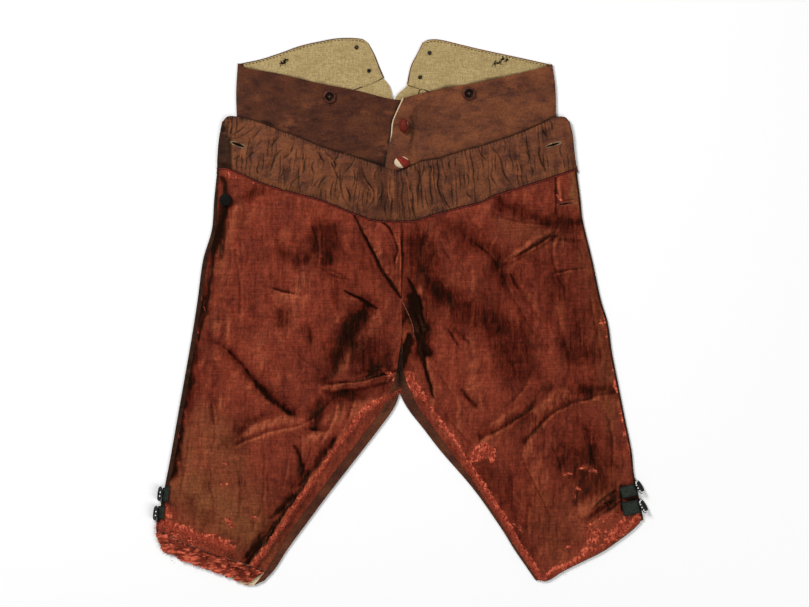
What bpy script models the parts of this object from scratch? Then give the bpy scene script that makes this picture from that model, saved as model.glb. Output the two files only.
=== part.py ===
"""Knee breeches with a fall front, laid flat on a surface with the front up.

All sizes in the tables are millimetres.  +Y runs to the waist, +X to the wearer's
left, +Z up from the surface.  The wearer's right leg is therefore at -X.
Every piece of cloth is a closed wall.  The backs lie on the surface, the linings lie
on the backs, and the fronts lie on those, each a seam gap above what carries it.
"""

import math
from collections import namedtuple

import bmesh
import bpy
from mathutils import Vector

MM = 0.001

# Walls and gaps
SEAM_GAP = 0.3
CLOTH = 1.4
LINING = 1.0
FRONT_FLOOR = CLOTH + SEAM_GAP
LINING_FLOOR = CLOTH + SEAM_GAP
WAIST_FLOOR = LINING_FLOOR + LINING + SEAM_GAP
FALL_FLOOR = WAIST_FLOOR + CLOTH + SEAM_GAP
LAP_RISE = CLOTH + SEAM_GAP
FOLD_RADIUS = FRONT_FLOOR / 2.0
WAIST_FOLD_RADIUS = WAIST_FLOOR / 2.0
ARC_STEPS = 3

# The middle of the part's box, so that the origin stands under it
CENTRE_X = -0.2
CENTRE_Y = 2.0

Point = namedtuple("Point", "x y")
Fold = namedtuple("Fold", "x0 y0 x1 y1 x2 y2 width height")
Strip = namedtuple("Strip", "v width")


def points(*pairs):
    """A table of x, y pairs as named points."""
    return [Point(x, y) for x, y in pairs]


def folds(*rows):
    """A table of folds: start, middle and end, half width, height (troughs below 0)."""
    return [Fold(*row) for row in rows]


# ---------------------------------------------------------------- outlines, x and y

# Outer edge of each leg from the fall seam to the hem
OUTER_RIGHT = points((-233, 182), (-237, 143), (-240, 105), (-251, 67), (-258, 16),
                     (-266, -35), (-275, -86), (-284, -136), (-293, -187),
                     (-300, -222), (-306, -250), (-311, -272), (-309, -289))
OUTER_LEFT = points((224, 182), (229, 143), (232, 117), (244, 67), (255, 16),
                    (264, -14), (269, -50), (276, -86), (286, -137), (294, -176),
                    (297, -205), (304, -238), (309, -263))

# Side of the back from the waistband to the fall seam
HIP_RIGHT = points((-208, 240), (-213, 222), (-225, 200), (-233, 182))
HIP_LEFT = points((198, 240), (204, 222), (216, 200), (224, 182))

# Inner edge of each leg from the crotch to the hem
INNER_RIGHT = points((-1, -76), (-1, -101), (-8, -121), (-28, -149), (-48, -175),
                     (-87, -225), (-125, -276), (-144, -302), (-160, -327), (-173, -341))
INNER_LEFT = points((-1, -76), (-1, -101), (9, -122), (30, -149), (50, -175),
                    (93, -225), (129, -276), (145, -302), (163, -328), (172, -341))

# Centre back from the foot of the open vee to the front of the crotch
BACK_CENTRE_RIGHT = points((-21, 299), (-14, 289), (-9, 272), (-4, 240), (-1, 100), (-1, -76))
BACK_CENTRE_LEFT = points((8, 290), (-8, 272), (-4, 240), (-1, 100), (-1, -76))

# Hem of the backs
BACK_HEM_RIGHT = points((-309, -289), (-300, -301), (-275, -313), (-240, -326),
                        (-208, -339), (-190, -347), (-173, -341))
BACK_HEM_LEFT = points((309, -263), (292, -276), (275, -289), (257, -301),
                       (231, -314), (205, -327), (187, -337), (172, -341))

# Centre front seam in equal steps down to the crotch, then the hems of the silk fronts
FRONT_CENTRE = points((-1, 116), (1, 68), (1, 20), (2, -28))
FRONT_HEM_RIGHT = points((-309, -275), (-280, -290), (-242, -305), (-207, -316),
                         (-195, -328))
FRONT_HEM_LEFT = points((309, -264), (293, -277), (276, -290), (257, -303),
                        (231, -316), (205, -329), (187, -340), (176, -343))

# Seam under the fall band, and the band's top edge, from the outside to the centre
FALL_SEAM_RIGHT = points((-232, 184), (-223, 184), (-204, 177), (-178, 165),
                         (-153, 157), (-102, 143), (-77, 133), (-51, 123),
                         (-36, 118), (-20, 116), (-1, 116))
FALL_SEAM_LEFT = points((223, 184), (203, 176), (164, 163), (120, 149), (101, 140),
                        (76, 134), (37, 123), (18, 117), (-1, 116))
FALL_TOP_RIGHT = points((-227, 242), (-219, 249), (-204, 248), (-178, 241),
                        (-153, 231), (-128, 222), (-102, 211), (-77, 203),
                        (-51, 195), (-16, 183), (-3, 179))
FALL_TOP_LEFT = points((215, 242), (209, 248), (195, 248), (177, 239), (152, 228),
                       (126, 219), (101, 211), (76, 204), (50, 196), (25, 191),
                       (10, 184), (-3, 179))
FALL_END_RIGHT = points((-227, 242), (-231, 219), (-233, 194), (-233, 184))
FALL_END_LEFT = points((215, 242), (219, 225), (221, 206), (224, 184))
FALL_CENTRE = points((-3, 179), (-2, 150), (-1, 116))

# Waistband, back half from the centre back to the side, front half back again
BACK_TOP_RIGHT = points((-41, 343), (-49, 348), (-77, 349), (-102, 345),
                        (-128, 339), (-153, 330), (-178, 322), (-207, 316))
BACK_TOP_LEFT = points((28, 343), (36, 347), (50, 347), (76, 341), (101, 335),
                       (152, 324), (193, 315))
BACK_END_RIGHT = points((-41, 343), (-33, 328), (-27, 313), (-21, 299))
BACK_END_LEFT = points((28, 343), (21, 329), (13, 313), (8, 290))
# One point for each column of the back that hangs from it, so that the seam is exact
BACK_SEAM_RIGHT = points((-21, 299), (-68, 280), (-114, 266), (-161, 253), (-208, 241))
BACK_SEAM_LEFT = points((8, 290), (55, 276), (103, 264), (150, 252), (198, 241))
SIDE_RIGHT = points((-207, 316), (-209, 280), (-208, 241))
SIDE_LEFT = points((193, 315), (197, 285), (198, 241))
FRONT_TOP_RIGHT = points((-207, 316), (-196, 311), (-153, 303), (-102, 291),
                         (-51, 281), (-16, 272), (15, 268))
FRONT_TOP_LEFT = points((193, 315), (152, 304), (101, 293), (50, 284), (25, 278),
                        (3, 272))
FRONT_END_RIGHT = points((15, 268), (13, 220), (11, 172))
FRONT_END_LEFT = points((3, 272), (-4, 257), (-10, 242), (-12, 225), (-16, 206),
                        (-19, 187), (-20, 171))
FRONT_FOOT_RIGHT = points((-208, 241), (-178, 231), (-128, 212), (-77, 194),
                          (-32, 179), (11, 172))
FRONT_FOOT_LEFT = points((198, 241), (177, 230), (126, 210), (76, 194), (25, 180),
                         (-20, 171))

# Linen below the waistband seam at the centre back: top, side, foot, centre
SEAT_TOP_RIGHT = points((-21, 298), (-50, 286), (-102, 269))
SEAT_SIDE_RIGHT = points((-102, 269), (-102, 238))
SEAT_FOOT_RIGHT = points((-8, 246), (-50, 244), (-102, 238))
SEAT_CENTRE_RIGHT = points((-21, 298), (-14, 289), (-10, 272), (-8, 246))
SEAT_TOP_LEFT = points((8, 289), (25, 284), (75, 270), (110, 261))
SEAT_SIDE_LEFT = points((110, 261), (110, 236))
SEAT_FOOT_LEFT = points((-7, 246), (50, 243), (110, 236))
SEAT_CENTRE_LEFT = points((8, 289), (-7, 272), (-6, 246))

# Underlap behind the fall
BEARER_TOP_RIGHT = points((-190, 234), (-128, 210), (-77, 192), (-32, 177), (-1, 170))
BEARER_TOP_LEFT = points((185, 232), (126, 208), (76, 192), (40, 179), (15, 168), (0, 167))
BEARER_DEPTH = 42.0
BEARER_NARROWING = 0.97

# Torn knee band and the lining that peeps out under it, at the right hem
BAND_EDGE_RIGHT = points((-311, -281), (-309, -291), (-301, -303), (-276, -315),
                         (-241, -328), (-208, -341), (-194, -344))
PEEP_EDGE_RIGHT = points((-300, -304), (-286, -309), (-240, -325), (-214, -337),
                         (-200, -346))

# Inner strip of each back that wraps to the front, from the crotch (v 0) to the hem
STRIP_RIGHT = [Strip(0.0, 4.0), Strip(0.08, 14.0), Strip(0.12, 17.0), Strip(0.26, 18.5),
               Strip(0.7, 19.0), Strip(0.85, 15.0), Strip(1.0, 14.0)]
STRIP_LEFT = [Strip(0.0, 4.0), Strip(0.08, 15.0), Strip(0.25, 13.5), Strip(0.36, 12.0),
              Strip(0.46, 9.0), Strip(0.6, 4.5), Strip(0.8, 3.0), Strip(1.0, 3.0)]
# Outer edge turned to the front, from the fall seam (v 0) to the hem
RETURN_RIGHT = [Strip(0.0, 2.6), Strip(0.2, 6.0), Strip(0.85, 6.0), Strip(1.0, 4.0)]
RETURN_LEFT = [Strip(0.0, 2.6), Strip(1.0, 2.6)]

# Where the drop front steps up over the waistband: half its width about a middle, the
# foot line of the bearer (its height and slope), and the lap at the centre front
STEP_HALF, STEP_MIDDLE, STEP_RAMP = 228.0, -4.0, 17.0
BEARER_FOOT, BEARER_SLOPE, BEARER_RAMP = 66.0, 0.33, 60.0
LAP_HALF, LAP_MIDDLE, LAP_RAMP = 52.0, 8.0, 20.0
LAP_FOOT, LAP_FOOT_RAMP = 128.0, 28.0
# The left waistband rises over the right one from here toward the centre
LAP_START, LAP_LENGTH = 46.0, 18.0
# Smallest height of a fold's floor above what it lies on bends off this softly
SOFT_FLOOR = 0.6

# ------------------------------------------------------------------ folds, in the silk

FOLDS_RIGHT = folds(
    (-62, 126, -39, 102, -29, 79, 5, -2.5),
    (-51, 120, -31, 86, -9, 51, 7, 3.5),
    (-51, 98, -25, 54, -1, 18, 6, -2.5),
    (8, 3, 12, -12, 10, -30, 8, 2.0),
    (-39, -3, -83, -60, -102, -98, 15, -4.0),
    (-88, -90, -39, -83, -4, -72, 6, -3.5),
    (-88, -78, -40, -70, -8, -58, 9, 3.5),
    (-242, -39, -181, -92, -138, -134, 9, -4.0),
    (-230, -26, -168, -78, -126, -120, 11, 3.5),
    (-124, -130, -191, -143, -217, -175, 8, -3.0),
    (-32, -105, -77, -114, -109, -147, 12, -4.0),
    (-124, -157, -107, -152, -90, -147, 7, -2.0),
    (-83, -158, -109, -191, -124, -206, 8, -3.0),
    (-133, -168, -128, -187, -124, -213, 6, -2.0),
    (-124, -210, -159, -264, -200, -327, 7, -4.5),
    (-112, -219, -141, -258, -187, -322, 6, 4.5),
    (-213, 137, -227, 98, -239, 64, 8, -2.5),
    (-163, 32, -152, 29, -140, 25, 7, -1.5),
    (-71, 26, -51, 15, -32, 3, 6, -1.5),
    (-204, 105, -210, 16, -223, -48, 26, 3.0),
    (-217, -111, -236, -175, -248, -238, 26, 3.0),
    (-110, 60, -120, 0, -150, -50, 24, 2.5),
)
FOLDS_LEFT = folds(
    (18, 16, 12, -16, 3, -55, 9, -5.0),
    (30, 40, 30, -5, 22, -40, 9, 3.5),
    (25, -48, 31, -67, 41, -92, 6, -2.5),
    (10, 48, 17, 33, 25, 18, 6, 2.0),
    (18, 98, 26, 40, 75, 8, 13, -4.0),
    (75, 8, 126, -12, 164, -41, 13, -4.0),
    (69, 111, 101, 92, 126, 60, 11, -3.0),
    (133, 137, 177, 120, 224, 111, 9, -3.0),
    (205, 107, 171, 86, 139, 60, 6, 4.5),
    (205, 117, 168, 97, 132, 70, 6, -3.0),
    (177, 92, 200, 95, 224, 96, 6, -2.0),
    (142, 51, 154, 29, 171, -10, 7, -2.5),
    (196, 41, 196, 10, 196, -22, 10, -2.5),
    (225, -22, 226, -48, 225, -73, 10, -2.5),
    (63, -16, 75, -28, 88, -41, 6, -2.0),
    (76, -98, 85, -107, 94, -117, 6, -1.5),
    (275, -107, 190, -100, 152, -181, 8, -3.5),
    (268, -119, 200, -116, 164, -188, 9, 3.0),
    (203, -105, 139, -124, 98, -168, 8, -3.0),
    (272, -238, 257, -252, 241, -266, 6, -3.0),
    (270, -229, 254, -242, 237, -255, 6, 3.5),
    (253, -219, 234, -236, 215, -253, 8, -2.5),
    (101, -225, 145, -289, 177, -337, 6, 2.5),
    (203, -150, 195, -200, 184, -250, 26, 3.0),
    (90, 50, 92, 20, 96, -20, 22, 2.0),
    (90, -60, 120, -110, 140, -160, 20, 2.5),
)
# A fold is read at this many places along it, no further out than this many half
# widths, and its height runs out over this share of its length at each end
FOLD_PLACES = 16
FOLD_REACH = 2.4
FOLD_TAPER = 0.06

# Lift of a front off what it lies on, its soft edge at the sides, and the shares of
# its length over which the lift dies at the fall seam and at the hem
PUFF = 4.2
PUFF_EDGE = 30.0
PUFF_SEAM = 0.09
PUFF_HEM = 0.07
# Distance from a side over which folds die, and the share of them left at the side
FOLD_EDGE = 8.0
EDGE_LEFT = 0.1

# ---------------------------------------------------- puckers, in the fall band's cloth

PUCKERS_RIGHT = folds(
    (-227, 226, -212, 236, -197, 246, 4, -1.6),
    (-204, 206, -205, 195, -206, 186, 4, -1.2),
    (-185, 225, -188, 210, -191, 194, 4, -1.4),
    (-176, 200, -179, 186, -182, 174, 4, -1.3),
    (-154, 224, -158, 219, -162, 212, 4, -1.6),
    (-159, 203, -166, 184, -168, 170, 4, -1.9),
    (-135, 219, -138, 206, -149, 196, 4, -1.9),
    (-143, 184, -146, 172, -150, 161, 4, -1.4),
    (-121, 210, -123, 202, -126, 194, 4, -1.5),
    (-124, 187, -129, 174, -140, 157, 4, -1.9),
    (-105, 206, -102, 198, -100, 190, 4, -1.6),
    (-115, 176, -117, 164, -120, 152, 4, -1.4),
    (-90, 196, -84, 190, -77, 184, 4, -1.6),
    (-96, 175, -98, 160, -100, 146, 4, -1.5),
    (-79, 168, -81, 154, -83, 140, 4, -1.4),
    (-62, 190, -66, 184, -70, 178, 4, -1.5),
    (-64, 158, -63, 144, -62, 131, 4, -1.5),
    (-51, 188, -48, 170, -34, 146, 4, -1.9),
    (-45, 142, -45, 133, -44, 125, 4, -1.3),
    (-26, 184, -28, 173, -30, 160, 4, -1.8),
    (-23, 155, -23, 143, -22, 130, 4, -1.6),
    (-12, 164, -12, 144, -12, 126, 4, -1.6),
)
PUCKERS_LEFT = folds(
    (10, 178, 12, 156, 18, 120, 4, -1.7),
    (23, 184, 24, 164, 25, 143, 4, -2.0),
    (37, 187, 38, 160, 39, 131, 4, -1.5),
    (48, 196, 48, 168, 54, 143, 4, -1.9),
    (60, 194, 62, 168, 65, 138, 4, -1.4),
    (76, 196, 78, 170, 81, 144, 4, -1.4),
    (91, 200, 94, 182, 98, 162, 4, -1.6),
    (86, 156, 90, 150, 95, 143, 4, -1.4),
    (101, 209, 107, 202, 114, 194, 4, -1.7),
    (107, 178, 111, 164, 116, 150, 4, -1.4),
    (120, 194, 129, 172, 136, 159, 4, -1.9),
    (142, 213, 147, 200, 152, 188, 4, -1.5),
    (149, 181, 153, 173, 157, 165, 4, -1.3),
    (159, 219, 163, 208, 167, 196, 4, -1.4),
    (175, 206, 179, 194, 184, 181, 4, -1.8),
    (177, 238, 182, 231, 187, 224, 4, -1.6),
    (196, 206, 198, 192, 199, 180, 4, -1.5),
)
PUCKER_PUFF = 2.1
# Shares of the band's depth and length over which puckers die, and what is left there
PUCKER_DOWN = 0.2
PUCKER_ACROSS = 0.033
PUCKER_LEFT = 0.3
# Cloth is calm this close to a buttonhole, and fully puckered this much further out
CALM_NEAR = 8.0
CALM_FAR = 12.0

# ---------------------------------------------------------------------- small things

BUTTONHOLE_LENGTH = 19.0
# Middle of each buttonhole, its turn from +X in degrees and its width at the middle
Slit = namedtuple("Slit", "x y turn width")
BUTTONHOLES_RIGHT = [Slit(-206.0, 213.0, -20.0, 3.2)]
BUTTONHOLES_LEFT = [Slit(194.0, 213.0, 16.0, 2.4)]
FALL_BUTTONHOLES_LEFT = [Slit(209.0, 138.0, 10.0, 1.8)]

# Half outline of an opened buttonhole, as shares of its length and its width
SLIT_OUTLINE = points((-1.0, 0.0), (-0.55, 0.36), (0.0, 0.5), (0.55, 0.36),
                      (1.0, 0.0), (0.55, -0.36), (0.0, -0.5), (-0.55, -0.36))
SLIT_FOOT = CLOTH + SEAM_GAP / 2
SLIT_TOP = 30.0

EYELET_RADIUS = 1.5
EYELET_FOOT, EYELET_TOP = -4.0, 8.0
EYELETS_RIGHT = points((-56, 337), (-40, 307))
EYELETS_LEFT = points((37, 330), (25, 299))

BRACE_BUTTON_RIGHT = Point(-90, 274)
BRACE_BUTTON_LEFT = Point(87, 278)
FALL_BUTTON_RIGHT = Point(-222, 143)

Cover = namedtuple("Cover", "x y half_x half_y height tilt")
UPPER_BUTTON = Cover(4.0, 237.0, 5.9, 9.0, 7.0, 12.0)
LOWER_BUTTON = Cover(1.5, 190.5, 9.4, 7.4, 6.5, 0.0)

STRAP_CLOTH = 2.0
STRAP_CLEARANCE = 13.0
# Corners of each knee strap in turn, then the middle of its buckle
Strap = namedtuple("Strap", "name side corners buckle_x buckle_y turn lean")
STRAPS = [
    Strap("left_upper", "left", points((277, -222), (296, -217), (302, -231), (282, -236)),
          303.0, -221.5, -60.0, 52.0),
    Strap("left_lower", "left", points((280, -241), (301, -237), (305, -254), (284, -259)),
          307.9, -246.0, -60.0, 52.0),
    Strap("right_upper", "right", points((-293, -219), (-302, -223), (-303, -240), (-295, -241)),
          -305.5, -230.0, 82.0, 68.0),
    Strap("right_lower", "right", points((-299, -245), (-308, -246), (-309, -262), (-301, -263)),
          -311.0, -254.5, 82.0, 68.0),
]
BUCKLE_HALF_LENGTH = 8.0
BUCKLE_HALF_WIDTH = 4.6
BUCKLE_THIN = 1.1
BUCKLE_THICK = 1.9
# Below 1, the ring's middle line is squarer than an ellipse
BUCKLE_SQUARENESS = 0.75
BUCKLE_RING, BUCKLE_SIDES = 18, 6

# Radius and height of each button's section, then of a covered one as shares
Step = namedtuple("Step", "radius height")
BRACE_PROFILE = [Step(7.6, 0.0), Step(8.5, 0.7), Step(8.5, 1.8), Step(7.9, 2.6),
                 Step(6.0, 3.0), Step(4.8, 2.6), Step(4.4, 1.7), Step(0.8, 1.7)]
FALL_PROFILE = [Step(6.6, 0.0), Step(7.8, 0.6), Step(8.0, 1.4), Step(7.0, 2.4),
                Step(4.0, 3.0), Step(0.8, 3.2)]
COVER_PROFILE = [Step(0.60, 0.0), Step(0.92, 0.14), Step(1.0, 0.36), Step(0.90, 0.62),
                 Step(0.62, 0.86), Step(0.22, 1.0)]
BUTTON_SIDES = 16
# The side button rests on the highest cloth this near its middle
FALL_BUTTON_SEAT = 20.0

# Steps along and across each wall
LEG_ACROSS = 20
FALL_ACROSS = 3 * LEG_ACROSS
FALL_DOWN = 5
BEARER_ACROSS, BEARER_DOWN = 8, 2
BACK_ACROSS = 4
WAIST_ACROSS, WAIST_DOWN = 12, 4
WAIST_LINING_ACROSS, WAIST_LINING_DOWN = 10, 3
SEAT_ACROSS, SEAT_DOWN = 6, 3
KNEE_ACROSS, KNEE_DOWN = 20, 2
PEEP_ACROSS, PEEP_DOWN = 14, 2
STRAP_ACROSS, STRAP_DOWN = 4, 3
# The linen stops these shares inside the waistband's centre end, fold and top
LINING_END, LINING_FOLD, LINING_TOP = 0.008, 0.955, 0.02
# Rows of a back above the hip, from there to the crotch, and below it
HIP_ROWS = 4
SEAT_ROWS = 12
SHANK_ROWS = 10
BACK_DOWN = HIP_ROWS + SEAT_ROWS + SHANK_ROWS
# A front has two rows for each row of its back
LEG_DOWN = 2 * (SEAT_ROWS + SHANK_ROWS)
LEG_CROTCH = 1.0 - 2.0 * SHANK_ROWS / LEG_DOWN
# Shares of a back's length at the hip and the crotch
HIP_SHARE = 0.14
CROTCH_SHARE = 0.60

# ------------------------------------------------------------- the tables of each side

Side = namedtuple("Side", "name sign outer hip inner back_centre back_hem strip returns "
                  "front_hem fall_seam fall_top fall_end folds puckers "
                  "band_slits front_slits back_top back_end back_seam fold "
                  "front_top front_end front_foot eyelets "
                  "seat_top seat_side seat_foot seat_centre bearer_top")
RIGHT = Side(
    "right", -1.0, OUTER_RIGHT, HIP_RIGHT, INNER_RIGHT, BACK_CENTRE_RIGHT, BACK_HEM_RIGHT,
    STRIP_RIGHT, RETURN_RIGHT, FRONT_HEM_RIGHT, FALL_SEAM_RIGHT, FALL_TOP_RIGHT,
    FALL_END_RIGHT, FOLDS_RIGHT, PUCKERS_RIGHT, BUTTONHOLES_RIGHT, [],
    BACK_TOP_RIGHT, BACK_END_RIGHT, BACK_SEAM_RIGHT, SIDE_RIGHT, FRONT_TOP_RIGHT,
    FRONT_END_RIGHT, FRONT_FOOT_RIGHT, EYELETS_RIGHT, SEAT_TOP_RIGHT, SEAT_SIDE_RIGHT,
    SEAT_FOOT_RIGHT, SEAT_CENTRE_RIGHT, BEARER_TOP_RIGHT)
LEFT = Side(
    "left", 1.0, OUTER_LEFT, HIP_LEFT, INNER_LEFT, BACK_CENTRE_LEFT, BACK_HEM_LEFT,
    STRIP_LEFT, RETURN_LEFT, FRONT_HEM_LEFT, FALL_SEAM_LEFT, FALL_TOP_LEFT,
    FALL_END_LEFT, FOLDS_LEFT, PUCKERS_LEFT, BUTTONHOLES_LEFT, FALL_BUTTONHOLES_LEFT,
    BACK_TOP_LEFT, BACK_END_LEFT, BACK_SEAM_LEFT, SIDE_LEFT, FRONT_TOP_LEFT,
    FRONT_END_LEFT, FRONT_FOOT_LEFT, EYELETS_LEFT, SEAT_TOP_LEFT, SEAT_SIDE_LEFT,
    SEAT_FOOT_LEFT, SEAT_CENTRE_LEFT, BEARER_TOP_LEFT)

# ------------------------------------------------------------------ colours and finish

# name: base colour, roughness, metallic
FINISHES = {
    "silk": ((0.20, 0.035, 0.018), 0.42, 0.0),
    "worn_silk": ((0.36, 0.035, 0.022), 0.5, 0.0),
    "brown_cotton": ((0.11, 0.045, 0.030), 0.6, 0.0),
    "linen": ((0.42, 0.33, 0.20), 0.85, 0.0),
    "cream_cotton": ((0.72, 0.58, 0.38), 0.85, 0.0),
    "horn": ((0.035, 0.018, 0.014), 0.4, 0.0),
    "black": ((0.012, 0.012, 0.012), 0.45, 0.0),
    "ribbon": ((0.018, 0.022, 0.018), 0.6, 0.0),
    "steel": ((0.32, 0.32, 0.31), 0.3, 1.0),
}


def material(name):
    """The Principled material of a finish, made once."""
    known = bpy.data.materials.get(name)
    if known:
        return known
    colour, roughness, metallic = FINISHES[name]
    made = bpy.data.materials.new(name)
    made.use_nodes = True
    shader = made.node_tree.nodes["Principled BSDF"]
    shader.inputs["Base Color"].default_value = (*colour, 1.0)
    shader.inputs["Roughness"].default_value = roughness
    shader.inputs["Metallic"].default_value = metallic
    made.diffuse_color = (*colour, 1.0)
    return made


# ------------------------------------------------------------------------ small maths

def mix(a, b, t):
    """Straight blend from a to b."""
    return a + (b - a) * t


def ease(t):
    """Smooth step from 0 to 1."""
    t = min(1.0, max(0.0, t))
    return t * t * (3.0 - 2.0 * t)


def lengths(table):
    """Running length along a table of points, from 0 to 1."""
    run = [0.0]
    for a, b in zip(table, table[1:]):
        run.append(run[-1] + math.hypot(b.x - a.x, b.y - a.y))
    return [step / run[-1] for step in run]


def curve(table):
    """A smooth curve through a table of points, as a function of 0..1."""
    marks = lengths(table)
    last = len(table) - 1

    def slope(k):
        before, after = max(k - 1, 0), min(k + 1, last)
        span = marks[after] - marks[before]
        return ((table[after].x - table[before].x) / span,
                (table[after].y - table[before].y) / span)

    def at(t):
        t = min(1.0, max(0.0, t))
        k = 0
        while k < last - 1 and t > marks[k + 1]:
            k += 1
        span = marks[k + 1] - marks[k]
        s = (t - marks[k]) / span
        start = 2 * s ** 3 - 3 * s ** 2 + 1
        end = 3 * s ** 2 - 2 * s ** 3
        out = (s ** 3 - 2 * s ** 2 + s) * span
        into = (s ** 3 - s ** 2) * span
        (ax, ay), (bx, by) = slope(k), slope(k + 1)
        return Vector((start * table[k].x + end * table[k + 1].x + out * ax + into * bx,
                       start * table[k].y + end * table[k + 1].y + out * ay + into * by))

    return at


def by_rows(table):
    """A broken line through a table, as a function of 0..1 with equal shares a point."""
    last = len(table) - 1

    def at(t):
        k = min(int(t * last), last - 1)
        s = t * last - k
        return Vector((mix(table[k].x, table[k + 1].x, s),
                       mix(table[k].y, table[k + 1].y, s)))
    return at


def joined(first, second, share):
    """Two curves end to end, the first taking the given share of 0..1."""
    def at(t):
        if t <= share:
            return first(t / share)
        return second((t - share) / (1.0 - share))
    return at


def patch(top, foot, outer, inner):
    """The plane surface between four edge curves, u from outer to inner, v downward."""
    top_outer, top_inner = outer(0.0), inner(0.0)
    foot_outer, foot_inner = outer(1.0), inner(1.0)

    def at(u, v):
        ruled_down = top(u) * (1 - v) + foot(u) * v
        ruled_across = outer(v) * (1 - u) + inner(v) * u
        corners = (top_outer * (1 - u) * (1 - v) + top_inner * u * (1 - v)
                   + foot_outer * (1 - u) * v + foot_inner * u * v)
        return ruled_down + ruled_across - corners

    return at


def beyond(fold, x, y):
    """Whether a place is too far from a fold for it to matter."""
    reach = FOLD_REACH * fold.width
    xs, ys = (fold.x0, fold.x1, fold.x2), (fold.y0, fold.y1, fold.y2)
    return not (min(xs) - reach <= x <= max(xs) + reach
                and min(ys) - reach <= y <= max(ys) + reach)


def fold_height(x, y, table):
    """Sum of the folds of a table at a place, each a soft ridge or trough."""
    total = 0.0
    for fold in table:
        if beyond(fold, x, y):
            continue
        bend_x = 2 * fold.x1 - (fold.x0 + fold.x2) / 2
        bend_y = 2 * fold.y1 - (fold.y0 + fold.y2) / 2
        ways = []
        for k in range(FOLD_PLACES + 1):
            t = k / FOLD_PLACES
            px = (1 - t) ** 2 * fold.x0 + 2 * t * (1 - t) * bend_x + t * t * fold.x2
            py = (1 - t) ** 2 * fold.y0 + 2 * t * (1 - t) * bend_y + t * t * fold.y2
            ways.append((math.hypot(x - px, y - py), t))
        nearest, where = min(ways)
        body = math.exp(-(nearest / fold.width) ** 2)
        along = mix(FOLD_TAPER, 1.0 - FOLD_TAPER, where)
        total += fold.height * body * math.sqrt(math.sin(math.pi * along))
    return total


# ---------------------------------------------------------------------- making meshes

def finish_mesh(name, verts, faces, finish):
    """A closed mesh object from points in millimetres."""
    shape = bmesh.new()
    corners = [shape.verts.new(((v[0] - CENTRE_X) * MM, (v[1] - CENTRE_Y) * MM, v[2] * MM))
               for v in verts]
    for face in faces:
        shape.faces.new([corners[k] for k in face])
    bmesh.ops.recalc_face_normals(shape, faces=shape.faces)
    mesh = bpy.data.meshes.new(name)
    shape.to_mesh(mesh)
    shape.free()
    mesh.shade_smooth()
    mesh.set_sharp_from_angle(angle=math.radians(40))
    mesh.materials.append(material(finish))
    thing = bpy.data.objects.new(name, mesh)
    bpy.context.collection.objects.link(thing)
    return thing


def wall(name, upper, lower, finish, keep=None):
    """A closed wall between two grids of points; keep(j, i) says which cells are cloth."""
    rows, columns = len(upper), len(upper[0])
    cells = {(j, i) for j in range(rows - 1) for i in range(columns - 1)
             if keep is None or keep(j, i)}
    index, verts = {}, []

    def corner(layer, j, i):
        key = (layer, j, i)
        if key not in index:
            index[key] = len(verts)
            verts.append((upper if layer else lower)[j][i])
        return index[key]

    faces = []
    for j, i in sorted(cells):
        ring = ((j, i), (j, i + 1), (j + 1, i + 1), (j + 1, i))
        faces.append([corner(1, *at) for at in ring])
        faces.append([corner(0, *at) for at in reversed(ring)])
        beyond = ((j - 1, i), (j, i + 1), (j + 1, i), (j, i - 1))
        for k, other in enumerate(beyond):
            if other in cells:
                continue
            a, b = ring[k], ring[(k + 1) % 4]
            faces.append([corner(1, *b), corner(1, *a), corner(0, *a), corner(0, *b)])
    return finish_mesh(name, verts, faces, finish)


def laid(name, surface, floor, thick, across, down, finish, spread=None):
    """A wall that lies on floor(x, y, u, v), as a grid over a plane surface."""
    lower, upper = [], []
    for j in range(down + 1):
        low_row, high_row = [], []
        for i in range(across + 1):
            u, v = i / across, j / down
            if spread:
                u, v = spread(u, v)
            place = surface(u, v)
            z = floor(place.x, place.y, u, v)
            low_row.append((place.x, place.y, z))
            high_row.append((place.x, place.y, z + thick))
        lower.append(low_row)
        upper.append(high_row)
    return wall(name, upper, lower, finish), upper


def top_near(grid, x, y, radius):
    """Highest point of a grid of upper points round a place, or of flat cloth there."""
    near = [p[2] for row in grid for p in row if math.hypot(p[0] - x, p[1] - y) < radius]
    return max(near + [FRONT_FLOOR + CLOTH])


def turned(name, profile, place, finish, sides, scale=Point(1.0, 1.0), tilt=0.0):
    """A closed solid turned about +Z from a section, its +X side raised by a tilt."""
    verts, faces = [], []
    slope = math.sin(math.radians(tilt))
    for step in profile:
        for k in range(sides):
            angle = 2 * math.pi * k / sides
            x = step.radius * math.cos(angle) * scale.x
            y = step.radius * math.sin(angle) * scale.y
            raised = step.height + (x + scale.x) * slope
            verts.append((place[0] + x, place[1] + y, place[2] + raised))
    rings = len(profile)
    for ring in range(rings - 1):
        for k in range(sides):
            a, b = ring * sides + k, ring * sides + (k + 1) % sides
            faces.append([a, b, b + sides, a + sides])
    faces.append(list(range(sides)))
    faces.append([(rings - 1) * sides + k for k in range(sides)])
    return finish_mesh(name, verts, faces, finish)


def cut_with(thing, cutter):
    """Leave a hole in a piece where a hidden cutter passes through it."""
    cutter.hide_render = True
    cutter.display_type = "WIRE"
    hole = thing.modifiers.new(cutter.name, "BOOLEAN")
    hole.operation = "DIFFERENCE"
    hole.solver = "EXACT"
    hole.object = cutter


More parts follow.
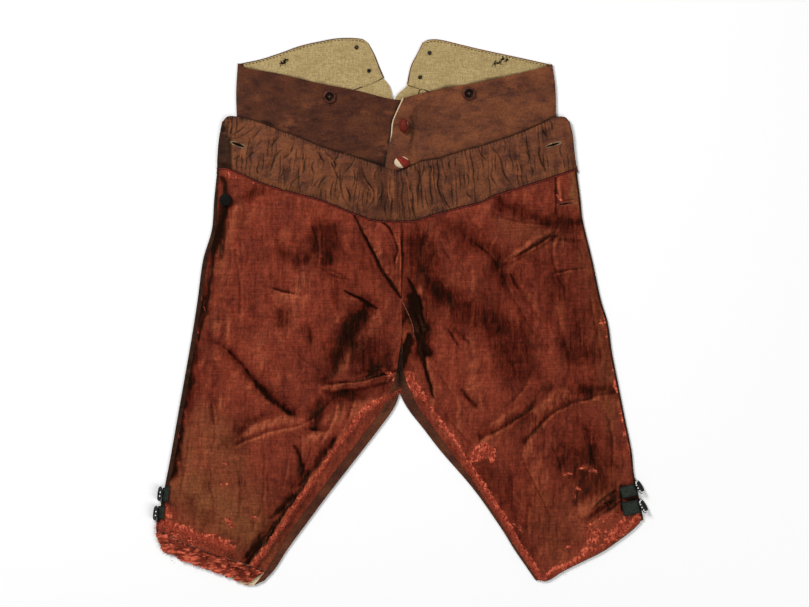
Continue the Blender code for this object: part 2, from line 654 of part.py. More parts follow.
def slit_cutter(name, slit):
    """A tall prism with pointed ends, in the shape of an opened buttonhole."""
    angle = math.radians(slit.turn)
    along = Vector((math.cos(angle), math.sin(angle))) * (BUTTONHOLE_LENGTH / 2)
    across = Vector((-math.sin(angle), math.cos(angle))) * slit.width
    flat = [Vector((slit.x, slit.y)) + along * p.x + across * p.y for p in SLIT_OUTLINE]
    verts = [(p.x, p.y, SLIT_FOOT) for p in flat] + [(p.x, p.y, SLIT_TOP) for p in flat]
    count = len(flat)
    faces = [list(range(count))[::-1], [count + k for k in range(count)]]
    faces += [[k, (k + 1) % count, count + (k + 1) % count, count + k] for k in range(count)]
    return finish_mesh(name, verts, faces, "linen")


def cut_slits(thing, slits):
    """Cut each buttonhole of a table through a piece."""
    for number, slit in enumerate(slits):
        cut_with(thing, slit_cutter("%s_slit_%d" % (thing.name, number), slit))


def cut_eyelets(thing, places):
    """Cut each lacing eyelet of a table through a piece."""
    profile = [Step(EYELET_RADIUS, EYELET_FOOT), Step(EYELET_RADIUS, EYELET_TOP)]
    for number, place in enumerate(places):
        name = "%s_eyelet_%d" % (thing.name, number)
        cut_with(thing, turned(name, profile, (place.x, place.y, 0.0), "linen", 10))


# ------------------------------------------------------------------- heights of layers

def width_at(table, v):
    """Width of a turned edge at a share of its length."""
    for a, b in zip(table, table[1:]):
        if v <= b.v:
            return mix(a.width, b.width, (v - a.v) / (b.v - a.v))
    return table[-1].width


def under_fall(x, y):
    """Height that the drop front rests at: over the waistband, its lap and the bearer."""
    inside_side = ease((STEP_HALF - abs(x - STEP_MIDDLE)) / STEP_RAMP)
    inside_foot = ease((y - BEARER_FOOT - BEARER_SLOPE * abs(x)) / BEARER_RAMP)
    lap_side = ease((LAP_HALF - abs(x - LAP_MIDDLE)) / LAP_RAMP)
    lap = lap_side * ease((y - LAP_FOOT) / LAP_FOOT_RAMP)
    return mix(FRONT_FLOOR, FALL_FLOOR, inside_side * inside_foot) + LAP_RISE * lap


def lap_rise(side, x):
    """Rise of the left waistband's front where it passes over the right one."""
    if side is RIGHT:
        return 0.0
    return LAP_RISE * ease((LAP_START - x) / LAP_LENGTH)


def soft_floor(height):
    """Keeps a height above zero with a soft bend."""
    return (height + math.hypot(height, SOFT_FLOOR)) / 2.0


# ---------------------------------------------------------------------------- the legs

def turned_edge(edge, out, width, radius, steps):
    """Middle line and normals of an edge folded up and back over its own cloth."""
    row = []
    for k in range(1, ARC_STEPS + 1):
        angle = math.pi * k / ARC_STEPS
        s, z = math.sin(angle) * radius, radius * (1 - math.cos(angle))
        place = (edge.x + out.x * s, edge.y + out.y * s, CLOTH / 2 + z)
        tip = (-out.x * math.sin(angle), -out.y * math.sin(angle), math.cos(angle))
        row.append((place, tip))
    for k in range(1, steps + 1):
        back = (width - radius - CLOTH / 2) * k / steps
        place = (edge.x - out.x * back, edge.y - out.y * back, CLOTH / 2 + 2 * radius)
        row.append((place, (0.0, 0.0, -1.0)))
    return row


def offset_grid(middle, normal, distance):
    """A grid of points moved along its normals."""
    return [[tuple(c + distance * n for c, n in zip(place, tip))
             for place, tip in zip(places, tips)]
            for places, tips in zip(middle, normal)]


def row_share(j):
    """Share of the way down a back of a row, with rows at the hip and the crotch."""
    if j <= HIP_ROWS:
        return HIP_SHARE * j / HIP_ROWS
    if j <= HIP_ROWS + SEAT_ROWS:
        return mix(HIP_SHARE, CROTCH_SHARE, (j - HIP_ROWS) / SEAT_ROWS)
    return mix(CROTCH_SHARE, 1.0, (j - HIP_ROWS - SEAT_ROWS) / SHANK_ROWS)


def back_surface(side):
    """Plane surface of a back, u from its outer edge to its inner one."""
    half_gap = side.sign * SEAM_GAP / 2
    top = [Point(p.x, p.y - 2 * SEAM_GAP) for p in reversed(side.back_seam)]
    centre = [top[-1]] + [Point(p.x + half_gap, p.y) for p in side.back_centre[1:]]
    inner = [Point(p.x + half_gap, p.y) for p in side.inner]
    hip = [top[0]] + side.hip[1:]
    outer_edge = joined(curve(hip), curve(side.outer), HIP_SHARE)
    inner_edge = joined(curve(centre), curve(inner), CROTCH_SHARE)
    return patch(by_rows(top), curve(side.back_hem), outer_edge, inner_edge)


def back_leg(side):
    """A back, flat on the surface, with its inner strip and outer edge turned over.

    The two backs meet from below the open vee to the crotch.  Gives the lines that the
    silk front is sewn to, at the strip and at the side.
    """
    surface = back_surface(side)
    reach = FOLD_RADIUS + CLOTH / 2
    crotch_row = HIP_ROWS + SEAT_ROWS
    middle, normal, inseam, sideseam = [], [], [], []
    for j in range(BACK_DOWN + 1):
        v = row_share(j)
        width = (surface(1.0, v) - surface(0.0, v)).length
        closed = HIP_ROWS <= j < crotch_row
        inner_inset = 0.0 if closed else reach / width
        base = [surface(mix(reach / width, 1 - inner_inset, i / BACK_ACROSS), v)
                for i in range(BACK_ACROSS + 1)]
        out = (base[0] - base[1]).normalized()
        into = (base[-1] - base[-2]).normalized()
        strip = width_at(side.strip, max(0.0, (v - CROTCH_SHARE) / (1 - CROTCH_SHARE)))
        turn = width_at(side.returns, max(0.0, (v - HIP_SHARE) / (1 - HIP_SHARE)))
        outer_turn = turned_edge(base[0], out, turn, FOLD_RADIUS, 1)
        inner_turn = turned_edge(base[-1], into, strip, FOLD_RADIUS, 2)
        flat = [((p.x, p.y, CLOTH / 2), (0.0, 0.0, 1.0)) for p in base]
        row = outer_turn[::-1] + flat + inner_turn
        middle.append([place for place, _ in row])
        normal.append([tip for _, tip in row])
        if j >= crotch_row:
            inseam.append(Point(*(base[-1] - into * (strip - reach + SEAM_GAP))))
        if j >= HIP_ROWS:
            sideseam.append(Point(*(base[0] - out * (turn - reach + SEAM_GAP))))
    first_base = ARC_STEPS + 1
    last_base = first_base + BACK_ACROSS

    def keep(j, i):
        if i < first_base:
            return j >= HIP_ROWS
        return i < last_base or j >= crotch_row

    upper = offset_grid(middle, normal, CLOTH / 2)
    lower = offset_grid(middle, normal, -CLOTH / 2)
    wall("back_leg_" + side.name, upper, lower, "brown_cotton", keep)
    return inseam, sideseam


def cut_at(line, y):
    """A line that runs down, with its last point moved up along it to a height."""
    a, b = line[-2], line[-1]
    share = min(1.0, (a.y - y) / (a.y - b.y))
    return line[:-1] + [Point(mix(a.x, b.x, share), mix(a.y, b.y, share))]


def front_leg(side, inseam, sideseam):
    """A silk front, from the fall seam to the hem, between the back's turned edges."""
    half_gap = side.sign * SEAM_GAP / 2
    inner_leg = cut_at(inseam, side.front_hem[-1].y)
    outer_leg = cut_at(sideseam, side.front_hem[0].y)
    centre = [Point(p.x + half_gap, p.y) for p in FRONT_CENTRE] + [inner_leg[0]]
    top = [outer_leg[0]] + side.fall_seam[1:-1] + [centre[0]]
    foot = [outer_leg[-1]] + side.front_hem[1:-1] + [inner_leg[-1]]
    inner = joined(by_rows(centre), by_rows(inner_leg), LEG_CROTCH)
    surface = patch(curve(top), curve(foot), by_rows(outer_leg), inner)

    def floor(x, y, u, v):
        width = (surface(1.0, v) - surface(0.0, v)).length
        from_side = min(u, 1.0 - u) * width
        soft = ease(v / PUFF_SEAM + EDGE_LEFT) * ease((1.0 - v) / PUFF_HEM)
        puff = PUFF * soft * ease(from_side / PUFF_EDGE)
        relief = fold_height(x, y, side.folds) * ease(from_side / FOLD_EDGE + EDGE_LEFT)
        return under_fall(x, y) + soft_floor(puff + relief)

    leg, grid = laid("front_leg_" + side.name, surface, floor, CLOTH,
                     LEG_ACROSS, LEG_DOWN, "silk")
    cut_slits(leg, side.front_slits)
    return grid


# --------------------------------------------------------------------------- the fall

def fall_band(side, front):
    """Half of the puckered band at the top of the drop front, with its buttonholes."""
    half_gap = side.sign * SEAM_GAP / 2
    foot = [side.fall_end[-1]] + [Point(p[0], p[1] + SEAM_GAP) for p in front[0][1:]]
    centre = [Point(p.x + half_gap, p.y) for p in FALL_CENTRE[:-1]] + [foot[-1]]
    top = side.fall_top[:-1] + [centre[0]]
    surface = patch(curve(top), by_rows(foot), curve(side.fall_end), curve(centre))

    def floor(x, y, u, v):
        near_slit = min(math.hypot(x - slit.x, y - slit.y) for slit in side.band_slits)
        calm = ease((near_slit - CALM_NEAR) / CALM_FAR)
        down = ease(min(v, 1.0 - v) / PUCKER_DOWN + PUCKER_LEFT)
        across = ease(min(u, 1.0 - u) / PUCKER_ACROSS + PUCKER_LEFT)
        relief = PUCKER_PUFF + fold_height(x, y, side.puckers)
        return under_fall(x, y) + soft_floor(relief * down * across * mix(PUCKER_LEFT, 1.0, calm))

    band, _ = laid("fall_band_" + side.name, surface, floor, CLOTH,
                   FALL_ACROSS, FALL_DOWN, "brown_cotton")
    cut_slits(band, side.band_slits)


def bearer(side):
    """The plain underlap that fills the opening behind the fall."""
    last = side.bearer_top[-1]
    top = side.bearer_top[:-1] + [Point(last.x + side.sign * SEAM_GAP / 2, last.y)]
    foot = [Point(p.x * BEARER_NARROWING, p.y - BEARER_DEPTH) for p in top[:-1]]
    foot.append(Point(top[-1].x, top[-1].y - BEARER_DEPTH))
    surface = patch(curve(top), curve(foot), curve([top[0], foot[0]]),
                    curve([top[-1], foot[-1]]))
    laid("fall_bearer_" + side.name, surface, lambda x, y, u, v: WAIST_FLOOR, CLOTH,
         BEARER_ACROSS, BEARER_DOWN, "linen")


# ---------------------------------------------------------------------- the waistband

def waistband(side):
    """Half of the waistband: its back half, the fold at the side and its front half."""
    back_end, fold = curve(side.back_end), curve(side.fold)
    back = patch(curve(side.back_top), by_rows(side.back_seam), back_end, fold)
    front = patch(curve(side.front_top), curve(side.front_foot), fold, curve(side.front_end))
    out = Vector((side.sign, 0.0))
    reach = WAIST_FOLD_RADIUS + CLOTH / 2
    front_z = WAIST_FLOOR + CLOTH / 2
    middle, normal = [], []
    for j in range(WAIST_DOWN + 1):
        v = j / WAIST_DOWN
        width = (fold(v) - back_end(v)).length
        stop = 1 - reach / width
        row = []
        for i in range(WAIST_ACROSS + 1):
            p = back(stop * i / WAIST_ACROSS, v)
            row.append(((p.x, p.y, CLOTH / 2), (0.0, 0.0, 1.0)))
        row += turned_edge(Vector(row[-1][0][:2]), out, 0.0, WAIST_FOLD_RADIUS, 0)
        for i in range(1, WAIST_ACROSS + 1):
            p = front(mix(1 - stop, 1.0, i / WAIST_ACROSS), v)
            row.append(((p.x, p.y, front_z + lap_rise(side, p.x)), (0.0, 0.0, -1.0)))
        middle.append([place for place, _ in row])
        normal.append([tip for _, tip in row])
    upper = offset_grid(middle, normal, CLOTH / 2)
    lower = offset_grid(middle, normal, -CLOTH / 2)
    cut_eyelets(wall("waistband_" + side.name, upper, lower, "brown_cotton"), side.eyelets)


def waistband_lining(side):
    """Linen on the waistband's back half, a little inside its edges."""
    surface = patch(curve(side.back_top), by_rows(side.back_seam), curve(side.back_end),
                    curve(side.fold))

    def spread(u, v):
        return mix(LINING_END, LINING_FOLD, u), mix(LINING_TOP, 1.0, v)

    lining, _ = laid("waistband_lining_" + side.name, surface,
                     lambda x, y, u, v: LINING_FLOOR, LINING,
                     WAIST_LINING_ACROSS, WAIST_LINING_DOWN, "linen", spread)
    cut_eyelets(lining, side.eyelets)


def seat_lining(side):
    """Linen below the waistband seam, where the open back shows it."""
    tables = (side.seat_top, side.seat_foot, side.seat_centre, side.seat_side)
    moved = [[Point(p.x + side.sign * SEAM_GAP, p.y - 2 * SEAM_GAP) for p in table]
             for table in tables]
    surface = patch(*(curve(table) for table in moved))
    laid("seat_lining_" + side.name, surface, lambda x, y, u, v: LINING_FLOOR, LINING,
         SEAT_ACROSS, SEAT_DOWN, "linen")


# ---------------------------------------------------------------------- the right knee

def knee_band(front):
    """The torn band below the right front, lifted clear of the lining under it."""
    seam = [Point(p[0], p[1] - 2 * SEAM_GAP) for p in front[-1]]
    edge = BAND_EDGE_RIGHT
    surface = patch(curve(seam), curve(edge), curve([seam[0], edge[0]]),
                    curve([seam[-1], edge[-1]]))
    floor = FRONT_FLOOR + CLOTH + SEAM_GAP
    laid("knee_band_right", surface, lambda x, y, u, v: floor, CLOTH,
         KNEE_ACROSS, KNEE_DOWN, "worn_silk")


def toward(start, end, distance):
    """A point moved a fixed distance toward another."""
    share = distance / math.hypot(end.x - start.x, end.y - start.y)
    return Point(mix(start.x, end.x, share), mix(start.y, end.y, share))


def leg_lining(front, inseam, sideseam):
    """Lining that peeps out below the knee band, between the back's turned edges."""
    hem = [Point(p[0], p[1]) for p in front[-1]]
    foot = [sideseam[-1]] + PEEP_EDGE_RIGHT + [inseam[-1]]
    seam = [Point(p.x, p.y - 2 * SEAM_GAP) for p in hem[1:-1]]
    seam = [toward(hem[0], foot[0], SEAM_GAP)] + seam + [toward(hem[-1], foot[-1], SEAM_GAP)]
    surface = patch(curve(seam), curve(foot), curve([seam[0], foot[0]]),
                    curve([seam[-1], foot[-1]]))
    laid("leg_lining_right", surface, lambda x, y, u, v: LINING_FLOOR, LINING,
         PEEP_ACROSS, PEEP_DOWN, "cream_cotton")


# ----------------------------------------------------------------- buttons and buckles

def buttons(right_front):
    """Brace buttons, covered waist buttons and the fall's side button."""
    on_waist = WAIST_FLOOR + CLOTH + SEAM_GAP
    for side, place in (("right", BRACE_BUTTON_RIGHT), ("left", BRACE_BUTTON_LEFT)):
        turned("brace_button_" + side, BRACE_PROFILE, (place.x, place.y, on_waist),
               "horn", BUTTON_SIDES)
    for name, cover in (("upper", UPPER_BUTTON), ("lower", LOWER_BUTTON)):
        profile = [Step(step.radius, step.height * cover.height) for step in COVER_PROFILE]
        turned("waist_button_" + name, profile, (cover.x, cover.y, on_waist + LAP_RISE),
               "worn_silk", BUTTON_SIDES, Point(cover.half_x, cover.half_y), cover.tilt)
    x, y = FALL_BUTTON_RIGHT
    seat = top_near(right_front, x, y, FALL_BUTTON_SEAT) + SEAM_GAP
    turned("fall_button_right", FALL_PROFILE, (x, y, seat), "black", BUTTON_SIDES)


def knee_strap(strap, front):
    """A folded ribbon that lies on the edge of the knee."""
    a, b, c, d = strap.corners
    surface = patch(curve([a, b]), curve([d, c]), curve([a, d]), curve([b, c]))

    def floor(x, y, u, v):
        return top_near(front, x, y, STRAP_CLEARANCE) + SEAM_GAP

    laid("knee_strap_" + strap.name, surface, floor, STRAP_CLOTH,
         STRAP_ACROSS, STRAP_DOWN, "ribbon")


def buckle(strap):
    """A ring that stands on its thick bar and leans on the edge of the knee."""
    turn, lean = math.radians(strap.turn), math.radians(strap.lean)
    along = Vector((math.cos(turn), math.sin(turn), 0.0))
    out = Vector((-along.y, along.x, 0.0))
    down = out * math.cos(lean) - Vector((0.0, 0.0, math.sin(lean)))
    face = along.cross(down)
    foot = BUCKLE_HALF_WIDTH * math.sin(lean) + BUCKLE_THICK + SEAM_GAP
    centre = Vector((strap.buckle_x, strap.buckle_y, foot))

    def middle(angle):
        c, s = math.cos(angle), math.sin(angle)
        length = BUCKLE_HALF_LENGTH * math.copysign(abs(c) ** BUCKLE_SQUARENESS, c)
        width = BUCKLE_HALF_WIDTH * math.copysign(abs(s) ** BUCKLE_SQUARENESS, s)
        return centre + along * length + down * width

    verts, faces = [], []
    nudge = math.pi / BUCKLE_RING / 8
    for k in range(BUCKLE_RING):
        angle = 2 * math.pi * (k + 0.5) / BUCKLE_RING
        tangent = (middle(angle + nudge) - middle(angle - nudge)).normalized()
        side = tangent.cross(face).normalized()
        radius = mix(BUCKLE_THIN, BUCKLE_THICK, (1 + math.sin(angle)) / 2)
        for m in range(BUCKLE_SIDES):
            around = 2 * math.pi * m / BUCKLE_SIDES
            place = middle(angle) + (side * math.cos(around) + face * math.sin(around)) * radius
            verts.append(tuple(place))
    for k in range(BUCKLE_RING):
        here, ahead = k * BUCKLE_SIDES, (k + 1) % BUCKLE_RING * BUCKLE_SIDES
        for m in range(BUCKLE_SIDES):
            n = (m + 1) % BUCKLE_SIDES
            faces.append([here + m, here + n, ahead + n, ahead + m])
    finish_mesh("knee_buckle_" + strap.name, verts, faces, "steel")


# -------------------------------------------------------------------------- build all

def clear_scene():
    """Start from an empty scene."""
    for thing in list(bpy.data.objects):
        bpy.data.objects.remove(thing)


def main():
    clear_scene()
    fronts = {}
    for side in (RIGHT, LEFT):
        inseam, sideseam = back_leg(side)
        fronts[side.name] = front_leg(side, inseam, sideseam)
        fall_band(side, fronts[side.name])
        bearer(side)
        waistband(side)
        waistband_lining(side)
        seat_lining(side)
        if side is RIGHT:
            knee_band(fronts[side.name])
            leg_lining(fronts[side.name], inseam, sideseam)
    buttons(fronts[RIGHT.name])
    for strap in STRAPS:
        knee_strap(strap, fronts[strap.side])
        buckle(strap)


main()
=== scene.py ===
"""Looks of the knee breeches: cloth, sewing, wear, buttons and buckles on the CAD frame.

Tables are in millimetres from the middle of the garment: +X to the wearer's left, +Y to
the waist, +Z up from the surface.  Marks on the cloth (stains, wear, seams, threads) are in
units of a PIXEL, counted from the left and from the top, and marks() turns them into
millimetres.  Every shell has the edges and the layers of the solid that it stands for.
"""
import math
from collections import namedtuple
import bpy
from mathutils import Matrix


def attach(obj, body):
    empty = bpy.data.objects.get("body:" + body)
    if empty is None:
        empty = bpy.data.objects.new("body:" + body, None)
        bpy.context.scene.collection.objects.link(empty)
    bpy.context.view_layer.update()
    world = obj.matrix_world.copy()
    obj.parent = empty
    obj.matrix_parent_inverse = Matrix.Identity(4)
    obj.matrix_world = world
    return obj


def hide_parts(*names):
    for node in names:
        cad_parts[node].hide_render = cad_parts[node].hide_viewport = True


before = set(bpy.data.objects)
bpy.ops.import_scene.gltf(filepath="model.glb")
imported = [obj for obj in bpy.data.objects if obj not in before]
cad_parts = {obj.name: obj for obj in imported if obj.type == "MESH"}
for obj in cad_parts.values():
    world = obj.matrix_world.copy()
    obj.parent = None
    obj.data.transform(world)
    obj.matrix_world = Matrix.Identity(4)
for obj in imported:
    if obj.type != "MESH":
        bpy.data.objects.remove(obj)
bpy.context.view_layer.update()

from types import SimpleNamespace

import bpy
import numpy as np
from mathutils import Vector
from mathutils.kdtree import KDTree

MM = 0.001

# Walls, gaps and the heights of the layers, as in the solids
SEAM_GAP, CLOTH, LINING = 0.3, 1.4, 1.0
FRONT_FLOOR = LINING_FLOOR = LAP_RISE = CLOTH + SEAM_GAP
WAIST_FLOOR = LINING_FLOOR + LINING + SEAM_GAP
WAIST_TOP = WAIST_FLOOR + CLOTH
FALL_FLOOR = WAIST_TOP + SEAM_GAP
FOLD_RADIUS, WAIST_FOLD_RADIUS = FRONT_FLOOR / 2.0, WAIST_FLOOR / 2.0
ARC_STEPS = 7

# The middle of the part's box, and the grid that the marks are counted in
CENTRE_X, CENTRE_Y = -0.2, 2.0
PIXEL = 1.27
NOUGHT_X, NOUGHT_Y = 400.5, 312.5

Fold = namedtuple("Fold", "x0 y0 x1 y1 x2 y2 width height")
Slit = namedtuple("Slit", "x y turn width")


def points(*pairs):
    """A table of x, y pairs."""
    return np.array(pairs, float)


def folds(*rows):
    """A table of folds: start, middle and end, half width, height (troughs below 0)."""
    return [Fold(*row) for row in rows]


def from_grid(x, y):
    """Millimetres of a place counted in PIXEL units."""
    return (x - NOUGHT_X) * PIXEL, (NOUGHT_Y - y) * PIXEL


def marks(*rows):
    """A table of marks: start, middle and end in PIXEL units, half width in them, share."""
    return [Fold(*from_grid(*row[0:2]), *from_grid(*row[2:4]), *from_grid(*row[4:6]),
                 row[6] * PIXEL, row[7]) for row in rows]


def line(*pairs):
    """A line of places in PIXEL units, in millimetres."""
    return np.array([from_grid(x, y) for x, y in pairs])


def lines(*rows):
    """A table of lines of places in PIXEL units."""
    return [line(*row) for row in rows]


# ------------------------------------------------------- tables of the two sides

# Edges shared by both sides
FRONT_CENTRE = points((-1, 116), (1, 68), (1, 20), (2, -28))
FALL_CENTRE = points((-3, 179), (-2, 150), (-1, 116))
# Painted shade in the deep fold at the crotch, on the backs
CROTCH_DARK = marks((400, 352, 400, 368, 399, 384, 7.0, 1.0),
                    (399, 384, 392, 398, 384, 412, 3.0, 0.5))
# Lower edges of the torn knee band and of the lining that peeps out under it
BAND_EDGE = points(
    (-311, -281), (-309, -291), (-301, -303), (-276, -315), (-241, -328), (-208, -341),
    (-194, -344))
PEEP_EDGE = points((-300, -304), (-286, -309), (-240, -325), (-214, -337), (-200, -346))

